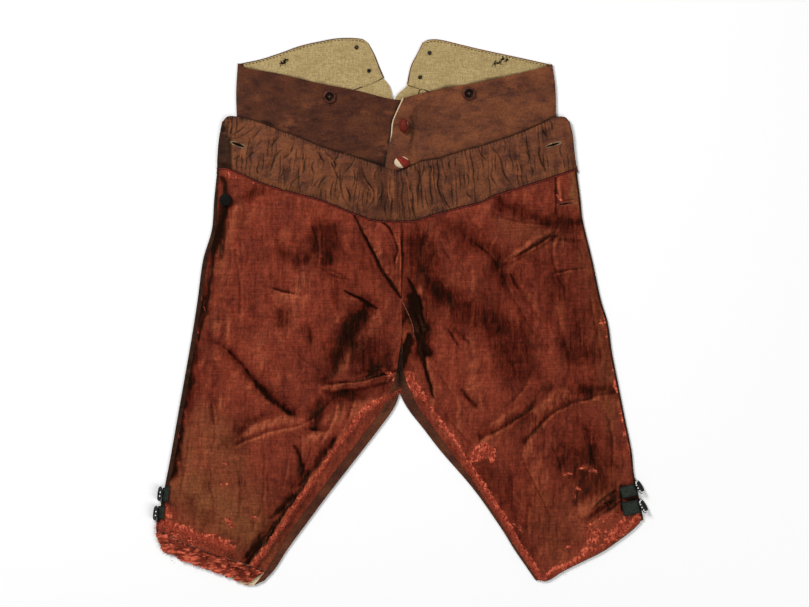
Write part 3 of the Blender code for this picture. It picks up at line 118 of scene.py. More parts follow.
# The wearer's right side
RIGHT = SimpleNamespace(
    name="right", sign=-1.0, gap=np.array([-SEAM_GAP / 2, 0.0]), seed=11,
    end_dark=0.082, waist_shade=1.08, bright_beads=2, brace=(-90.0, 274.0),
    band_slits=[Slit(-206.0, 213.0, -20.0, 3.2)], front_slits=[],
    eyelets=points((-56, 337), (-40, 307)),
    # Edges of the cloth, from the outer edge or from the waist
    outer=points(
        (-233, 182), (-237, 143), (-240, 105), (-251, 67), (-258, 16), (-266, -35), (-275, -86),
        (-284, -136), (-293, -187), (-300, -222), (-306, -250), (-311, -272), (-309, -289)),
    hip=points((-208, 240), (-213, 222), (-225, 200), (-233, 182)),
    inner=points(
        (-1, -76), (-1, -101), (-8, -121), (-28, -149), (-48, -175), (-87, -225), (-125, -276),
        (-144, -302), (-160, -327), (-173, -341)),
    back_centre=points((-21, 299), (-14, 289), (-9, 272), (-4, 240), (-1, 100), (-1, -76)),
    back_hem=points(
        (-309, -289), (-300, -301), (-275, -313), (-240, -326), (-208, -339), (-190, -347),
        (-173, -341)),
    front_hem=points((-309, -275), (-280, -290), (-242, -305), (-207, -316), (-195, -328)),
    fall_seam=points(
        (-232, 184), (-223, 184), (-204, 177), (-178, 165), (-153, 157), (-102, 143), (-77, 133),
        (-51, 123), (-36, 118), (-20, 116), (-1, 116)),
    fall_top=points(
        (-227, 242), (-219, 249), (-204, 248), (-178, 241), (-153, 231), (-128, 222), (-102, 211),
        (-77, 203), (-51, 195), (-16, 183), (-3, 179)),
    fall_end=points((-227, 242), (-231, 219), (-233, 194), (-233, 184)),
    back_top=points(
        (-41, 343), (-49, 348), (-77, 349), (-102, 345), (-128, 339), (-153, 330), (-178, 322),
        (-207, 316)),
    back_end=points((-41, 343), (-33, 328), (-27, 313), (-21, 299)),
    back_seam=points((-21, 299), (-68, 280), (-114, 266), (-161, 253), (-208, 241)),
    fold=points((-207, 316), (-209, 280), (-208, 241)),
    front_top=points(
        (-207, 316), (-196, 311), (-153, 303), (-102, 291), (-51, 281), (-16, 272), (15, 268)),
    front_end=points((15, 268), (13, 220), (11, 172)),
    front_foot=points((-208, 241), (-178, 231), (-128, 212), (-77, 194), (-32, 179), (11, 172)),
    seat_top=points((-21, 298), (-50, 286), (-102, 269)),
    seat_side=points((-102, 269), (-102, 238)),
    seat_foot=points((-8, 246), (-50, 244), (-102, 238)),
    seat_centre=points((-21, 298), (-14, 289), (-10, 272), (-8, 246)),
    bearer_top=points((-190, 234), (-128, 210), (-77, 192), (-32, 177), (-1, 170)),
    # Width of the back's strip at the inner leg, and of its return along the hem
    strip=points(
        (0.0, 4.0), (0.08, 14.0), (0.12, 17.0), (0.26, 18.5), (0.7, 19.0), (0.85, 15.0),
        (1.0, 14.0)),
    returns=points((0.0, 2.6), (0.2, 6.0), (0.85, 6.0), (1.0, 4.0)),
    # Folds and creases of the silk, frayed ridges of its inner edge
    folds=folds(
        (-62, 126, -39, 102, -29, 79, 5, -2.5), (-51, 120, -31, 86, -9, 51, 7, 3.5),
        (-51, 98, -25, 54, -1, 18, 6, -2.5), (8, 3, 12, -12, 10, -30, 8, 2.0),
        (-39, -3, -83, -60, -102, -98, 15, -4.0), (-62, -81, -32, -76, -2, -66, 5, -2.2),
        (-60, -92, -32, -87, -6, -76, 6, 2.0), (-242, -39, -181, -92, -138, -134, 9, -4.0),
        (-230, -26, -168, -78, -126, -120, 11, 3.5), (-124, -130, -191, -143, -217, -175, 8, -3.0),
        (-32, -105, -77, -114, -109, -147, 12, -4.0), (-124, -157, -107, -152, -90, -147, 7, -2.0),
        (-83, -158, -109, -191, -124, -206, 8, -3.0),
        (-133, -168, -128, -187, -124, -213, 6, -2.0),
        (-124, -210, -159, -264, -200, -327, 7, -4.5),
        (-112, -219, -141, -258, -187, -322, 6, 4.5), (-213, 137, -227, 98, -239, 64, 8, -2.5),
        (-163, 32, -152, 29, -140, 25, 7, -1.5), (-71, 26, -51, 15, -32, 3, 6, -1.5),
        (-204, 105, -210, 16, -223, -48, 26, 3.0), (-217, -111, -236, -175, -248, -238, 26, 3.0),
        (-110, 60, -120, 0, -150, -50, 24, 2.5)),
    creases=marks(
        (353, 212, 372, 250, 401, 299, 1.5, -1.3), (369, 221, 386, 225, 396, 243, 1.3, -1.0),
        (396, 243, 397, 250, 394, 262, 1.2, -0.8), (330, 270, 338, 274, 346, 278, 1.6, -1.0),
        (345, 292, 361, 301, 376, 309, 1.6, -1.2), (270, 288, 285, 292, 301, 296, 1.6, -0.7),
        (215, 343, 234, 356, 252, 378, 2.4, -1.2), (252, 378, 270, 400, 292, 416, 2.2, -1.4),
        (325, 385, 362, 379, 399, 369, 1.8, -1.6), (322, 391, 362, 387, 396, 377, 2.0, 1.2),
        (300, 425, 318, 414, 332, 399, 1.8, -1.2), (298, 426, 266, 433, 234, 446, 2.0, -1.2),
        (302, 428, 313, 430, 326, 431, 1.8, -1.0), (300, 430, 301, 450, 299, 471, 1.8, -1.2),
        (392, 234, 395, 262, 394, 291, 1.4, -0.8), (398, 240, 399, 262, 398, 286, 1.2, -0.7),
        (345, 232, 352, 250, 366, 268, 2.2, 1.0), (283, 332, 300, 356, 322, 372, 3.0, -0.9),
        (236, 260, 240, 290, 238, 322, 3.2, -0.8), (262, 236, 268, 268, 266, 300, 3.0, 0.8),
        (222, 300, 226, 330, 222, 362, 2.6, -0.7), (208, 392, 214, 420, 212, 452, 2.6, -0.8),
        (250, 410, 262, 440, 264, 476, 3.2, -0.9), (232, 455, 240, 490, 236, 525, 3.0, -0.9),
        (262, 470, 262, 500, 252, 530, 2.6, -0.9), (205, 470, 212, 496, 214, 524, 2.6, -0.7),
        (190, 430, 186, 460, 180, 490, 2.4, -0.6), (286, 440, 286, 470, 278, 498, 2.4, -1.0),
        (312, 440, 306, 462, 294, 486, 2.2, -1.1), (336, 404, 330, 424, 318, 446, 2.2, -1.1),
        (352, 396, 350, 412, 342, 430, 2.0, -0.9), (340, 322, 350, 340, 352, 360, 3.0, 0.9),
        (312, 226, 318, 248, 316, 268, 2.6, -0.7)),
    ridges=marks(
        (400, 390, 380, 403, 356, 424, 2.4, 1.3), (356, 424, 336, 448, 314, 482, 2.4, 1.5),
        (314, 482, 300, 502, 284, 524, 2.6, 1.6), (284, 524, 268, 548, 246, 577, 3.2, 1.9),
        (154, 524, 190, 535, 232, 550, 2.6, 1.2), (228, 516, 231, 521, 234, 528, 1.2, 0.8)),
    # Puckers and thin creases of the fall band
    puckers=folds(
        (-227, 226, -212, 236, -197, 246, 4, -1.6), (-204, 206, -205, 195, -206, 186, 4, -1.2),
        (-185, 225, -188, 210, -191, 194, 4, -1.4), (-176, 200, -179, 186, -182, 174, 4, -1.3),
        (-154, 224, -158, 219, -162, 212, 4, -1.6), (-159, 203, -166, 184, -168, 170, 4, -1.9),
        (-135, 219, -138, 206, -149, 196, 4, -1.9), (-143, 184, -146, 172, -150, 161, 4, -1.4),
        (-121, 210, -123, 202, -126, 194, 4, -1.5), (-124, 187, -129, 174, -140, 157, 4, -1.9),
        (-105, 206, -102, 198, -100, 190, 4, -1.6), (-115, 176, -117, 164, -120, 152, 4, -1.4),
        (-90, 196, -84, 190, -77, 184, 4, -1.6), (-96, 175, -98, 160, -100, 146, 4, -1.5),
        (-79, 168, -81, 154, -83, 140, 4, -1.4), (-62, 190, -66, 184, -70, 178, 4, -1.5),
        (-64, 158, -63, 144, -62, 131, 4, -1.5), (-51, 188, -48, 170, -34, 146, 4, -1.9),
        (-45, 142, -45, 133, -44, 125, 4, -1.3), (-26, 184, -28, 173, -30, 160, 4, -1.8),
        (-23, 155, -23, 143, -22, 130, 4, -1.6), (-12, 164, -12, 144, -12, 126, 4, -1.6)),
    lines=lines(
        ((248, 124), (240, 131), (233, 135), (226, 138)),
        ((256, 126), (250, 131), (242, 136), (235, 139)), ((262, 129), (257, 134), (252, 139)),
        ((262, 141), (257, 146), (250, 149)), ((247, 150), (240, 156), (234, 160)),
        ((258, 150), (250, 156), (245, 158)), ((278, 138), (273, 144), (268, 149)),
        ((294, 144), (291, 152), (284, 159)),
        ((308, 146), (303, 156), (304, 165), (302, 174), (292, 183), (290, 191)),
        ((276, 153), (274, 162), (270, 171)), ((259, 163), (257, 169), (258, 175)),
        ((284, 166), (283, 173), (278, 181)), ((319, 153), (322, 159), (324, 165)),
        ((331, 156), (333, 166), (337, 176), (342, 184)),
        ((324, 150), (331, 158), (336, 165), (334, 172)),
        ((362, 169), (367, 182), (374, 193), (371, 203), (366, 211)),
        ((381, 181), (383, 191), (379, 201), (378, 211)), ((365, 189), (362, 198), (355, 206)),
        ((342, 164), (340, 178), (342, 194), (348, 207)), ((319, 180), (314, 186), (311, 190)),
        ((354, 161), (350, 167), (345, 173)), ((378, 169), (375, 174), (375, 180)),
        ((334, 181), (331, 190), (331, 201)), ((303, 183), (300, 188), (301, 194)),
        ((327, 176), (321, 183), (318, 192)), ((316, 160), (312, 168), (314, 175)),
        ((354, 170), (355, 180), (352, 188)), ((391, 176), (390, 190), (392, 205), (391, 217)),
        ((387, 200), (385, 209), (386, 219)), ((339, 152), (337, 158), (332, 163)),
        ((298, 150), (296, 155), (297, 160)), ((283, 150), (279, 153), (276, 158)),
        ((345, 185), (349, 194), (350, 201))),
    # Painted shade of the silk's folds, creases, crotch and side edge, its wear, broad painted
    # shades, golden tint, and the waistband's painted shadows
    dark=marks(
        (326, 226, 327, 246, 326, 266, 9, 0.7), (279, 243, 290, 258, 302, 266, 5, 0.7),
        (302, 262, 310, 244, 317, 226, 7, 0.7), (318, 266, 332, 275, 349, 280, 2, 0.6),
        (345, 291, 361, 299, 377, 308, 1.5, 0.8), (273, 288, 283, 291, 293, 293, 1.5, 0.6),
        (280, 309, 281, 318, 282, 326, 5, 0.8), (308, 329, 309, 336, 310, 342, 4, 0.6),
        (336, 281, 337, 295, 338, 308, 4, 0.6), (366, 309, 347, 343, 328, 380, 10, 0.78),
        (352, 338, 364, 352, 376, 374, 14, 0.66), (378, 372, 384, 360, 392, 350, 4, 0.5),
        (340, 383, 366, 380, 399, 369, 1.6, 1), (230, 352, 243, 366, 256, 381, 4, 0.6),
        (256, 381, 273, 400, 293, 416, 4, 0.85), (245, 425, 240, 437, 233, 449, 5, 0.7),
        (323, 399, 319, 414, 314, 428, 5, 0.8), (335, 439, 322, 459, 300, 483, 4, 1),
        (307, 480, 295, 498, 280, 519, 2.6, 1.2), (280, 519, 264, 543, 243, 571, 3.2, 1.4),
        (295, 445, 301, 462, 300, 483, 3, 0.8), (292, 497, 284, 506, 276, 514, 4, 0.9),
        (267, 538, 257, 549, 247, 559, 4, 1), (223, 178, 222, 215, 214, 262, 4.4, 1.2),
        (214, 262, 207, 300, 200, 340, 2.5, 1.1), (226, 215, 213, 262, 203, 300, 4, 0.7),
        (203, 300, 193, 350, 185, 400, 5, 1.1), (185, 400, 177, 440, 169, 478, 5, 1.2),
        (225, 212, 224, 235, 221, 256, 3, 0.8), (246, 198, 254, 192, 263, 194, 6, 0.7),
        (243, 216, 243, 222, 242, 228, 4, 0.4), (214, 397, 215, 410, 214, 420, 3, 0.4),
        (232, 405, 233, 420, 236, 440, 3, 0.3), (190, 495, 195, 505, 200, 515, 5, 0.35),
        (205, 508, 206, 520, 204, 530, 4, 0.4), (330, 392, 345, 396, 360, 394, 8, 0.6),
        (353, 212, 371, 248, 386, 278, 2, 0.9), (386, 278, 394, 288, 401, 299, 2.2, 1.1),
        (369, 221, 386, 225, 396, 243, 1.3, 0.9), (396, 243, 397, 250, 394, 262, 1.2, 0.8),
        (366, 378, 374, 372, 380, 372, 3, 1)),
    worn=marks(
        (381, 399, 359, 416, 345, 437, 4, 0.9), (345, 437, 331, 456, 312, 482, 2.1, 0.95),
        (312, 482, 299, 500, 285, 522, 2.2, 1.2), (285, 522, 268, 546, 246, 576, 2.6, 1.2),
        (222, 464, 224, 464, 226, 465, 1.5, 0.6), (222, 484, 225, 484, 228, 485, 2, 0.6),
        (226, 519, 230, 523, 234, 528, 2.5, 0.8), (250, 517, 254, 518, 258, 519, 2, 0.6),
        (155, 521, 190, 533, 231, 549, 4.4, 1.4), (165, 506, 168, 512, 172, 518, 4, 0.9),
        (161, 530, 180, 538, 200, 545, 4, 0.5), (212, 536, 220, 540, 230, 543, 4, 0.7),
        (227, 172, 233, 176, 240, 180, 4, 0.5), (240, 180, 300, 192, 345, 208, 5, 0.3),
        (385, 372, 392, 380, 396, 392, 6, 0.5), (176, 464, 200, 467, 225, 470, 4, 0.25)),
    shades=marks(
        (360, 250, 372, 320, 380, 380, 26, 0.3), (318, 232, 326, 250, 330, 270, 26, 0.22),
        (232, 200, 216, 300, 196, 420, 14, 0.25), (300, 470, 262, 520, 225, 560, 14, 0.2)),
    olive=marks(
        (190, 480, 225, 510, 262, 540, 34, 0.8), (210, 420, 220, 450, 232, 480, 26, 0.5),
        (190, 430, 184, 460, 178, 500, 14, 0.6)),
    waist_dark=marks(
        (262, 121, 268, 123, 274, 127, 2.2, 0.9), (359, 158, 376, 163, 394, 169, 2.6, 0.9),
        (388, 150, 386, 158, 384, 166, 4.0, 0.5), (402, 102, 396, 110, 392, 124, 3.0, 0.6)),
    # Frays: fibres for each millimetre, spread, length, then the line; and flecks
    frays=[
        (3.4, 2.0, 3.6, (400, 391), (380, 403), (356, 424), (336, 448), (314, 482)),
        (4.2, 2.3, 4.2, (314, 482), (300, 502), (284, 524), (268, 548), (246, 577)),
        (6.0, 2.4, 5.0, (156, 524), (176, 530), (204, 539), (232, 550)),
        (2.6, 3.0, 4.0, (157, 531), (190, 543), (228, 555)),
        (4.0, 2.4, 4.0, (160, 548), (198, 561), (232, 573), (250, 583)),
        (4.0, 0.7, 2.6, (228, 516), (231, 521), (234, 528)),
        (3.0, 1.8, 3.0, (164, 507), (170, 512), (176, 515))],
    flecks=lines(
        ((201, 296), (202, 300)), ((204, 307), (205, 311)), ((197, 329), (198, 333)),
        ((178, 434), (179, 438)), ((222, 464), (227, 465)), ((221, 484), (228, 485)),
        ((241, 474), (246, 476)), ((249, 518), (256, 520)), ((226, 538), (231, 539))),
    # Dark tufts and the seam on the linen, the tack at the fall's end
    tufts=line((282, 64), (284, 62), (287, 60)),
    linen_seam=line((362, 87), (371, 83), (381, 78)),
    tack=line((218, 166), (217.5, 172)),
)

# The wearer's left side
LEFT = SimpleNamespace(
    name="left", sign=1.0, gap=np.array([SEAM_GAP / 2, 0.0]), seed=57,
    end_dark=0.010, waist_shade=0.22, bright_beads=9, brace=(87.0, 278.0),
    band_slits=[Slit(194.0, 213.0, 16.0, 2.4)], front_slits=[Slit(209.0, 138.0, 10.0, 1.8)],
    eyelets=points((37, 330), (25, 299)),
    # Edges of the cloth, from the outer edge or from the waist
    outer=points(
        (224, 182), (229, 143), (232, 117), (244, 67), (255, 16), (264, -14), (269, -50),
        (276, -86), (286, -137), (294, -176), (297, -205), (304, -238), (309, -263)),
    hip=points((198, 240), (204, 222), (216, 200), (224, 182)),
    inner=points(
        (-1, -76), (-1, -101), (9, -122), (30, -149), (50, -175), (93, -225), (129, -276),
        (145, -302), (163, -328), (172, -341)),
    back_centre=points((8, 290), (-8, 272), (-4, 240), (-1, 100), (-1, -76)),
    back_hem=points(
        (309, -263), (292, -276), (275, -289), (257, -301), (231, -314), (205, -327), (187, -337),
        (172, -341)),
    front_hem=points(
        (309, -264), (293, -277), (276, -290), (257, -303), (231, -316), (205, -329), (187, -340),
        (176, -343)),
    fall_seam=points(
        (223, 184), (203, 176), (164, 163), (120, 149), (101, 140), (76, 134), (37, 123),
        (18, 117), (-1, 116)),
    fall_top=points(
        (215, 242), (209, 248), (195, 248), (177, 239), (152, 228), (126, 219), (101, 211),
        (76, 204), (50, 196), (25, 191), (10, 184), (-3, 179)),
    fall_end=points((215, 242), (219, 225), (221, 206), (224, 184)),
    back_top=points(
        (28, 343), (36, 347), (50, 347), (76, 341), (101, 335), (152, 324), (193, 315)),
    back_end=points((28, 343), (21, 329), (13, 313), (8, 290)),
    back_seam=points((8, 290), (55, 276), (103, 264), (150, 252), (198, 241)),
    fold=points((193, 315), (197, 285), (198, 241)),
    front_top=points((193, 315), (152, 304), (101, 293), (50, 284), (25, 278), (3, 272)),
    front_end=points(
        (3, 272), (-4, 257), (-10, 242), (-12, 225), (-16, 206), (-19, 187), (-20, 171)),
    front_foot=points((198, 241), (177, 230), (126, 210), (76, 194), (25, 180), (-20, 171)),
    seat_top=points((8, 289), (25, 284), (75, 270), (110, 261)),
    seat_side=points((110, 261), (110, 236)),
    seat_foot=points((-7, 246), (50, 243), (110, 236)),
    seat_centre=points((8, 289), (-7, 272), (-6, 246)),
    bearer_top=points((185, 232), (126, 208), (76, 192), (40, 179), (15, 168), (0, 167)),
    # Width of the back's strip at the inner leg, and of its return along the hem
    strip=points(
        (0.0, 4.0), (0.08, 15.0), (0.25, 13.5), (0.36, 12.0), (0.46, 9.0), (0.6, 4.5), (0.8, 3.0),
        (1.0, 3.0)),
    returns=points((0.0, 2.6), (1.0, 2.6)),
    # Folds and creases of the silk, frayed ridges of its inner edge
    folds=folds(
        (14, 36, 23, 12, 27, -16, 7, -5.0), (7, -10, 2, -26, 0, -46, 5, -3.5),
        (30, 40, 30, -5, 22, -40, 9, 3.5), (25, -48, 31, -67, 41, -92, 6, -2.5),
        (10, 48, 17, 33, 25, 18, 6, 2.0), (22, 104, 34, 40, 84, 4, 16, -3.2),
        (84, 4, 126, -12, 160, -41, 17, -2.8), (69, 111, 101, 92, 126, 60, 11, -3.0),
        (133, 137, 177, 120, 224, 111, 9, -3.0), (185, 98, 160, 82, 130, 62, 3.4, 1.0),
        (205, 117, 168, 97, 132, 70, 6, -1.2), (177, 92, 200, 95, 224, 96, 6, -2.0),
        (142, 51, 154, 29, 171, -10, 7, -2.5), (196, 41, 196, 10, 196, -22, 10, -2.5),
        (225, -22, 226, -48, 225, -73, 10, -2.5), (63, -16, 75, -28, 88, -41, 6, -2.0),
        (76, -98, 85, -107, 94, -117, 6, -1.5), (270, -107, 190, -100, 152, -181, 10, -3.0),
        (262, -121, 200, -120, 166, -182, 9, 1.4), (203, -105, 139, -124, 98, -168, 10, -2.2),
        (272, -238, 257, -252, 241, -266, 6, -3.0), (270, -229, 254, -242, 237, -255, 6, 3.5),
        (253, -219, 234, -236, 215, -253, 8, -2.5), (101, -225, 145, -289, 177, -337, 6, 2.5),
        (203, -150, 195, -200, 184, -250, 26, 3.0), (90, 50, 92, 20, 96, -20, 22, 2.0),
        (90, -60, 120, -110, 140, -160, 20, 2.5)),
    creases=marks(
        (421, 339, 427, 372, 434, 397, 1.5, -1.2), (414, 339, 419, 355, 426, 374, 2.2, 1.2),
        (408, 278, 413, 287, 418, 298, 1.4, -0.9), (510, 262, 534, 250, 556, 235, 1.3, 0.6),
        (509, 259, 533, 247, 555, 232, 1.3, -0.6), (510, 270, 524, 300, 545, 330, 2.2, 1.0),
        (504, 276, 518, 308, 538, 338, 2.2, -1.1), (550, 275, 568, 270, 586, 268, 1.6, -1.0),
        (455, 330, 463, 337, 471, 345, 1.6, -1.1), (446, 328, 452, 336, 458, 346, 1.6, -0.9),
        (478, 442, 508, 424, 541, 404, 2.0, -1.2), (525, 445, 545, 420, 571, 404, 2.0, -1.4),
        (571, 404, 594, 397, 616, 393, 2.0, -1.4), (480, 434, 508, 416, 540, 397, 3.4, 0.7),
        (461, 390, 468, 398, 477, 407, 1.5, -1.0), (415, 302, 421, 322, 425, 346, 3.0, -1.6),
        (407, 338, 403, 354, 400, 372, 2.4, -1.2), (470, 240, 486, 252, 500, 268, 2.6, -0.9),
        (440, 240, 452, 262, 470, 280, 2.8, -0.8), (560, 222, 552, 256, 566, 292, 2.6, -0.8),
        (590, 300, 596, 330, 602, 362, 2.6, -0.8), (556, 320, 566, 348, 570, 380, 3.0, -0.8),
        (530, 372, 520, 392, 498, 412, 3.0, -0.9), (580, 420, 590, 446, 588, 474, 3.0, -0.4),
        (548, 440, 560, 468, 562, 498, 3.0, -0.4), (520, 456, 536, 488, 552, 520, 2.6, -0.5),
        (500, 462, 518, 496, 540, 530, 2.4, 0.4), (604, 410, 612, 436, 612, 462, 2.4, -0.7),
        (614, 490, 600, 500, 592, 509, 3.2, -0.7), (622, 500, 608, 512, 592, 524, 3.2, -0.7),
        (560, 178, 561, 190, 563, 202, 2.2, 1.2), (590, 470, 578, 490, 580, 516, 2.2, -0.4),
        (430, 366, 446, 384, 458, 408, 2.6, -0.9), (440, 404, 456, 428, 480, 452, 2.2, -0.9),
        (496, 214, 520, 222, 548, 224, 2.2, -0.8), (470, 300, 476, 280, 470, 262, 2.6, 0.7)),
    ridges=marks(
        (409, 374, 415, 388, 424, 400, 2.2, 1.4), (424, 400, 447, 434, 468, 464, 1.8, 1.0),
        (468, 464, 493, 503, 516, 538, 2.4, 1.5), (516, 538, 530, 561, 543, 580, 2.6, 1.6),
        (545, 578, 574, 563, 602, 547, 1.8, 0.9), (602, 547, 622, 534, 640, 519, 1.8, 0.9),
        (470, 458, 480, 452, 491, 452, 2.2, 0.9)),
    # Puckers and thin creases of the fall band
    puckers=folds(
        (10, 178, 12, 156, 18, 120, 4, -1.7), (23, 184, 24, 164, 25, 143, 4, -2.0),
        (37, 187, 38, 160, 39, 131, 4, -1.5), (48, 196, 48, 168, 54, 143, 4, -1.9),
        (60, 194, 62, 168, 65, 138, 4, -1.4), (76, 196, 78, 170, 81, 144, 4, -1.4),
        (91, 200, 94, 182, 98, 162, 4, -1.6), (86, 156, 90, 150, 95, 143, 4, -1.4),
        (101, 209, 107, 202, 114, 194, 4, -1.7), (107, 178, 111, 164, 116, 150, 4, -1.4),
        (120, 194, 129, 172, 136, 159, 4, -1.9), (142, 213, 147, 200, 152, 188, 4, -1.5),
        (149, 181, 153, 173, 157, 165, 4, -1.3), (159, 219, 163, 208, 167, 196, 4, -1.4),
        (175, 206, 179, 194, 184, 181, 4, -1.8), (177, 238, 182, 231, 187, 224, 4, -1.6),
        (196, 206, 198, 192, 199, 180, 4, -1.5)),
    lines=lines(
        ((415, 166), (420, 177), (418, 188), (419, 198)),
        ((437, 160), (439, 174), (438, 186), (442, 198), (446, 208)),
        ((410, 184), (411, 200), (414, 217)), ((406, 167), (407, 176), (411, 185)),
        ((443, 194), (446, 203), (452, 211)), ((456, 157), (455, 162), (456, 167)),
        ((491, 146), (499, 156), (502, 166), (505, 175), (512, 187)),
        ((479, 149), (481, 155), (486, 161)), ((467, 191), (468, 195), (472, 198)),
        ((539, 144), (538, 150), (541, 161), (546, 172)), ((543, 129), (544, 133), (547, 137)),
        ((550, 121), (552, 125), (553, 130)), ((503, 139), (504, 142), (506, 145)),
        ((401, 172), (403, 186), (402, 202), (404, 217)), ((424, 165), (423, 172), (421, 178)),
        ((466, 172), (469, 180), (467, 187)), ((491, 170), (492, 178), (497, 187)),
        ((518, 160), (521, 168), (520, 177)), ((526, 150), (529, 158), (528, 166)),
        ((450, 160), (449, 165), (451, 170)), ((531, 165), (533, 172), (532, 178)),
        ((430, 164), (431, 170), (429, 175)), ((562, 144), (560, 150), (563, 158)),
        ((396, 170), (398, 185), (396, 200), (398, 216))),
    # Painted shade of the silk's folds, creases and crotch, with its centre seam line; its wear
    # with painted highlight on the outer edge; broad painted shades, golden tint, and the
    # waistband's painted shadows
    dark=marks(
        (418, 228, 424, 262, 434, 296, 10, 0.66), (434, 294, 470, 312, 508, 334, 15, 0.58),
        (506, 330, 516, 344, 523, 360, 17, 0.54), (440, 219, 465, 238, 493, 251, 9, 0.5),
        (493, 253, 500, 266, 503, 285, 9, 0.6), (503, 205, 540, 218, 577, 223, 8, 0.6),
        (556, 175, 556, 195, 555, 213, 1.3, 1), (557, 204, 563, 201, 574, 199, 1.6, 0.6),
        (556, 235, 540, 243, 518, 256, 4, 0.6), (548, 241, 565, 240, 581, 240, 2.5, 0.5),
        (511, 273, 514, 281, 518, 288, 2, 0.7), (545, 262, 560, 290, 575, 330, 20, 0.35),
        (592, 262, 600, 310, 610, 370, 7, 0.35), (606, 380, 608, 400, 610, 425, 6, 0.35),
        (566, 345, 580, 352, 594, 355, 12, 0.5), (500, 345, 515, 372, 530, 366, 12, 0.5),
        (448, 329, 452, 336, 456, 344, 2.5, 0.5), (463, 339, 467, 342, 471, 345, 2, 0.5),
        (416, 300, 420, 322, 424, 350, 7.2, 1.7), (421, 339, 427, 372, 434, 397, 1.8, 1),
        (408, 338, 404, 354, 400, 372, 4.6, 1.9), (408, 278, 413, 287, 418, 298, 2.2, 0.8),
        (402, 345, 400, 360, 399, 375, 3, 1.2), (572, 397, 596, 392, 619, 390, 3, 0.6),
        (616, 392, 565, 398, 523, 444, 6, 0.75), (533, 406, 508, 424, 480, 439, 6, 0.6),
        (614, 490, 603, 498, 593, 508, 2.4, 0.5), (619, 502, 606, 512, 592, 523, 2.4, 0.5),
        (588, 428, 594, 448, 597, 474, 13, 0.5), (560, 452, 572, 470, 580, 490, 16, 0.3),
        (590, 450, 600, 458, 612, 465, 8, 0.5), (480, 460, 500, 490, 525, 520, 16, 0.35),
        (461, 390, 468, 398, 476, 406, 3, 0.6), (402, 222, 402, 262, 401, 298, 1.6, 0.9),
        (606, 492, 612, 500, 622, 514, 7, 0.3), (621, 498, 630, 497, 639, 498, 4, 2.2),
        (620, 485, 621, 499, 621, 513, 1.6, 1.2)),
    worn=marks(
        (410, 374, 415, 387, 425, 398, 5, 1.2), (424, 398, 447, 432, 466, 459, 3, 0.8),
        (470, 458, 480, 452, 492, 452, 5.4, 1.7), (490, 449, 491, 455, 491, 462, 3.4, 1.5),
        (466, 459, 493, 501, 516, 535, 2.8, 1.0), (516, 535, 530, 560, 543, 580, 3.3, 1.1),
        (545, 577, 572, 562, 600, 546, 4, 0.8), (600, 546, 620, 532, 637, 519, 5, 0.8),
        (563, 475, 568, 473, 572, 474, 1.5, 0.7), (574, 486, 577, 488, 580, 490, 1.5, 0.7),
        (573, 493, 575, 496, 576, 500, 1.5, 0.6), (588, 526, 600, 520, 612, 515, 4, 0.6),
        (590, 535, 600, 530, 612, 530, 5, 0.6), (566, 546, 568, 547, 571, 547, 1.5, 0.8),
        # From the mark at (604, 312) on, and at (600, 318) below, the outer edge: painted
        # highlight on the edge as much as wear
        (580, 552, 583, 550, 586, 548, 2, 0.7), (604, 312, 611, 350, 617, 392, 2.4, 0.62),
        (620, 404, 629, 438, 635, 474, 3.2, 0.9), (604, 540, 614, 532, 624, 520, 6, 0.9),
        (630, 522, 636, 518, 641, 512, 5, 1), (586, 545, 592, 540, 598, 534, 4, 0.8),
        (557, 196, 562, 200, 570, 204, 2.2, 0.5), (582, 468, 590, 470, 596, 474, 4, 0.5),
        (600, 318, 604, 326, 607, 338, 2.5, 0.5), (512, 524, 518, 526, 524, 530, 4, 0.4)),
    shades=marks(
        (575, 230, 585, 290, 592, 370, 30, 0.26), (520, 262, 500, 330, 530, 372, 34, 0.22),
        (408, 240, 410, 310, 404, 390, 15, 0.3), (470, 470, 500, 510, 540, 550, 22, 0.2),
        (560, 440, 590, 470, 606, 500, 28, 0.5), (575, 420, 600, 440, 616, 480, 20, 0.2),
        (520, 470, 540, 505, 560, 540, 22, 0.3), (430, 240, 440, 290, 470, 320, 24, 0.18)),
    olive=marks(
        (600, 470, 590, 500, 560, 540, 26, 0.25), (540, 500, 550, 530, 560, 560, 18, 0.25),
        (500, 225, 530, 232, 560, 236, 14, 0.3), (572, 171, 574, 188, 577, 205, 5, 1),
        (588, 240, 600, 300, 612, 380, 15, 0.4), (606, 372, 608, 400, 612, 430, 9, 0.45)),
    waist_dark=marks(
        (417, 100, 416, 130, 418, 164, 1.0, 0.35), (411, 116, 413, 128, 411, 142, 2.6, 0.75),
        (411, 142, 409, 150, 410, 158, 3.4, 0.5), (408, 98, 420, 92, 432, 90, 2.0, 0.3),
        (470, 160, 500, 146, 540, 132, 2.0, 0.2)),
    # Frays: fibres for each millimetre, spread, length, then the line; and flecks
    frays=[
        (4.5, 2.2, 3.4, (408, 373), (414, 387), (424, 400)),
        (2.4, 1.2, 3.0, (424, 400), (436, 418), (456, 447)),
        (4.2, 1.9, 3.8, (456, 447), (482, 489), (516, 540), (542, 580)),
        (5.0, 2.2, 3.6, (470, 457), (480, 453), (491, 453)),
        (2.6, 1.3, 3.0, (543, 579), (574, 563), (602, 547), (640, 520)),
        (2.0, 3.2, 3.4, (584, 536), (606, 530), (634, 522)),
        (1.4, 2.0, 3.0, (596, 524), (612, 516), (628, 512)),
        (1.6, 0.8, 2.4, (563, 546), (568, 548), (573, 546))],
    flecks=lines(
        ((560, 473), (572, 474)), ((561, 476), (569, 476)), ((576, 489), (581, 491)),
        ((563, 500), (571, 502)), ((572, 507), (580, 511)), ((600, 505), (610, 504)),
        ((584, 530), (592, 533)), ((604, 538), (612, 536))),
    # Dark tufts and the seam on the linen, the tack at the fall's end
    tufts=line((495, 63), (500, 62), (503, 58), (506, 60)),
    linen_seam=line((407, 84), (416, 87), (425, 90)),
    tack=line((576, 165), (577.5, 171)),
)

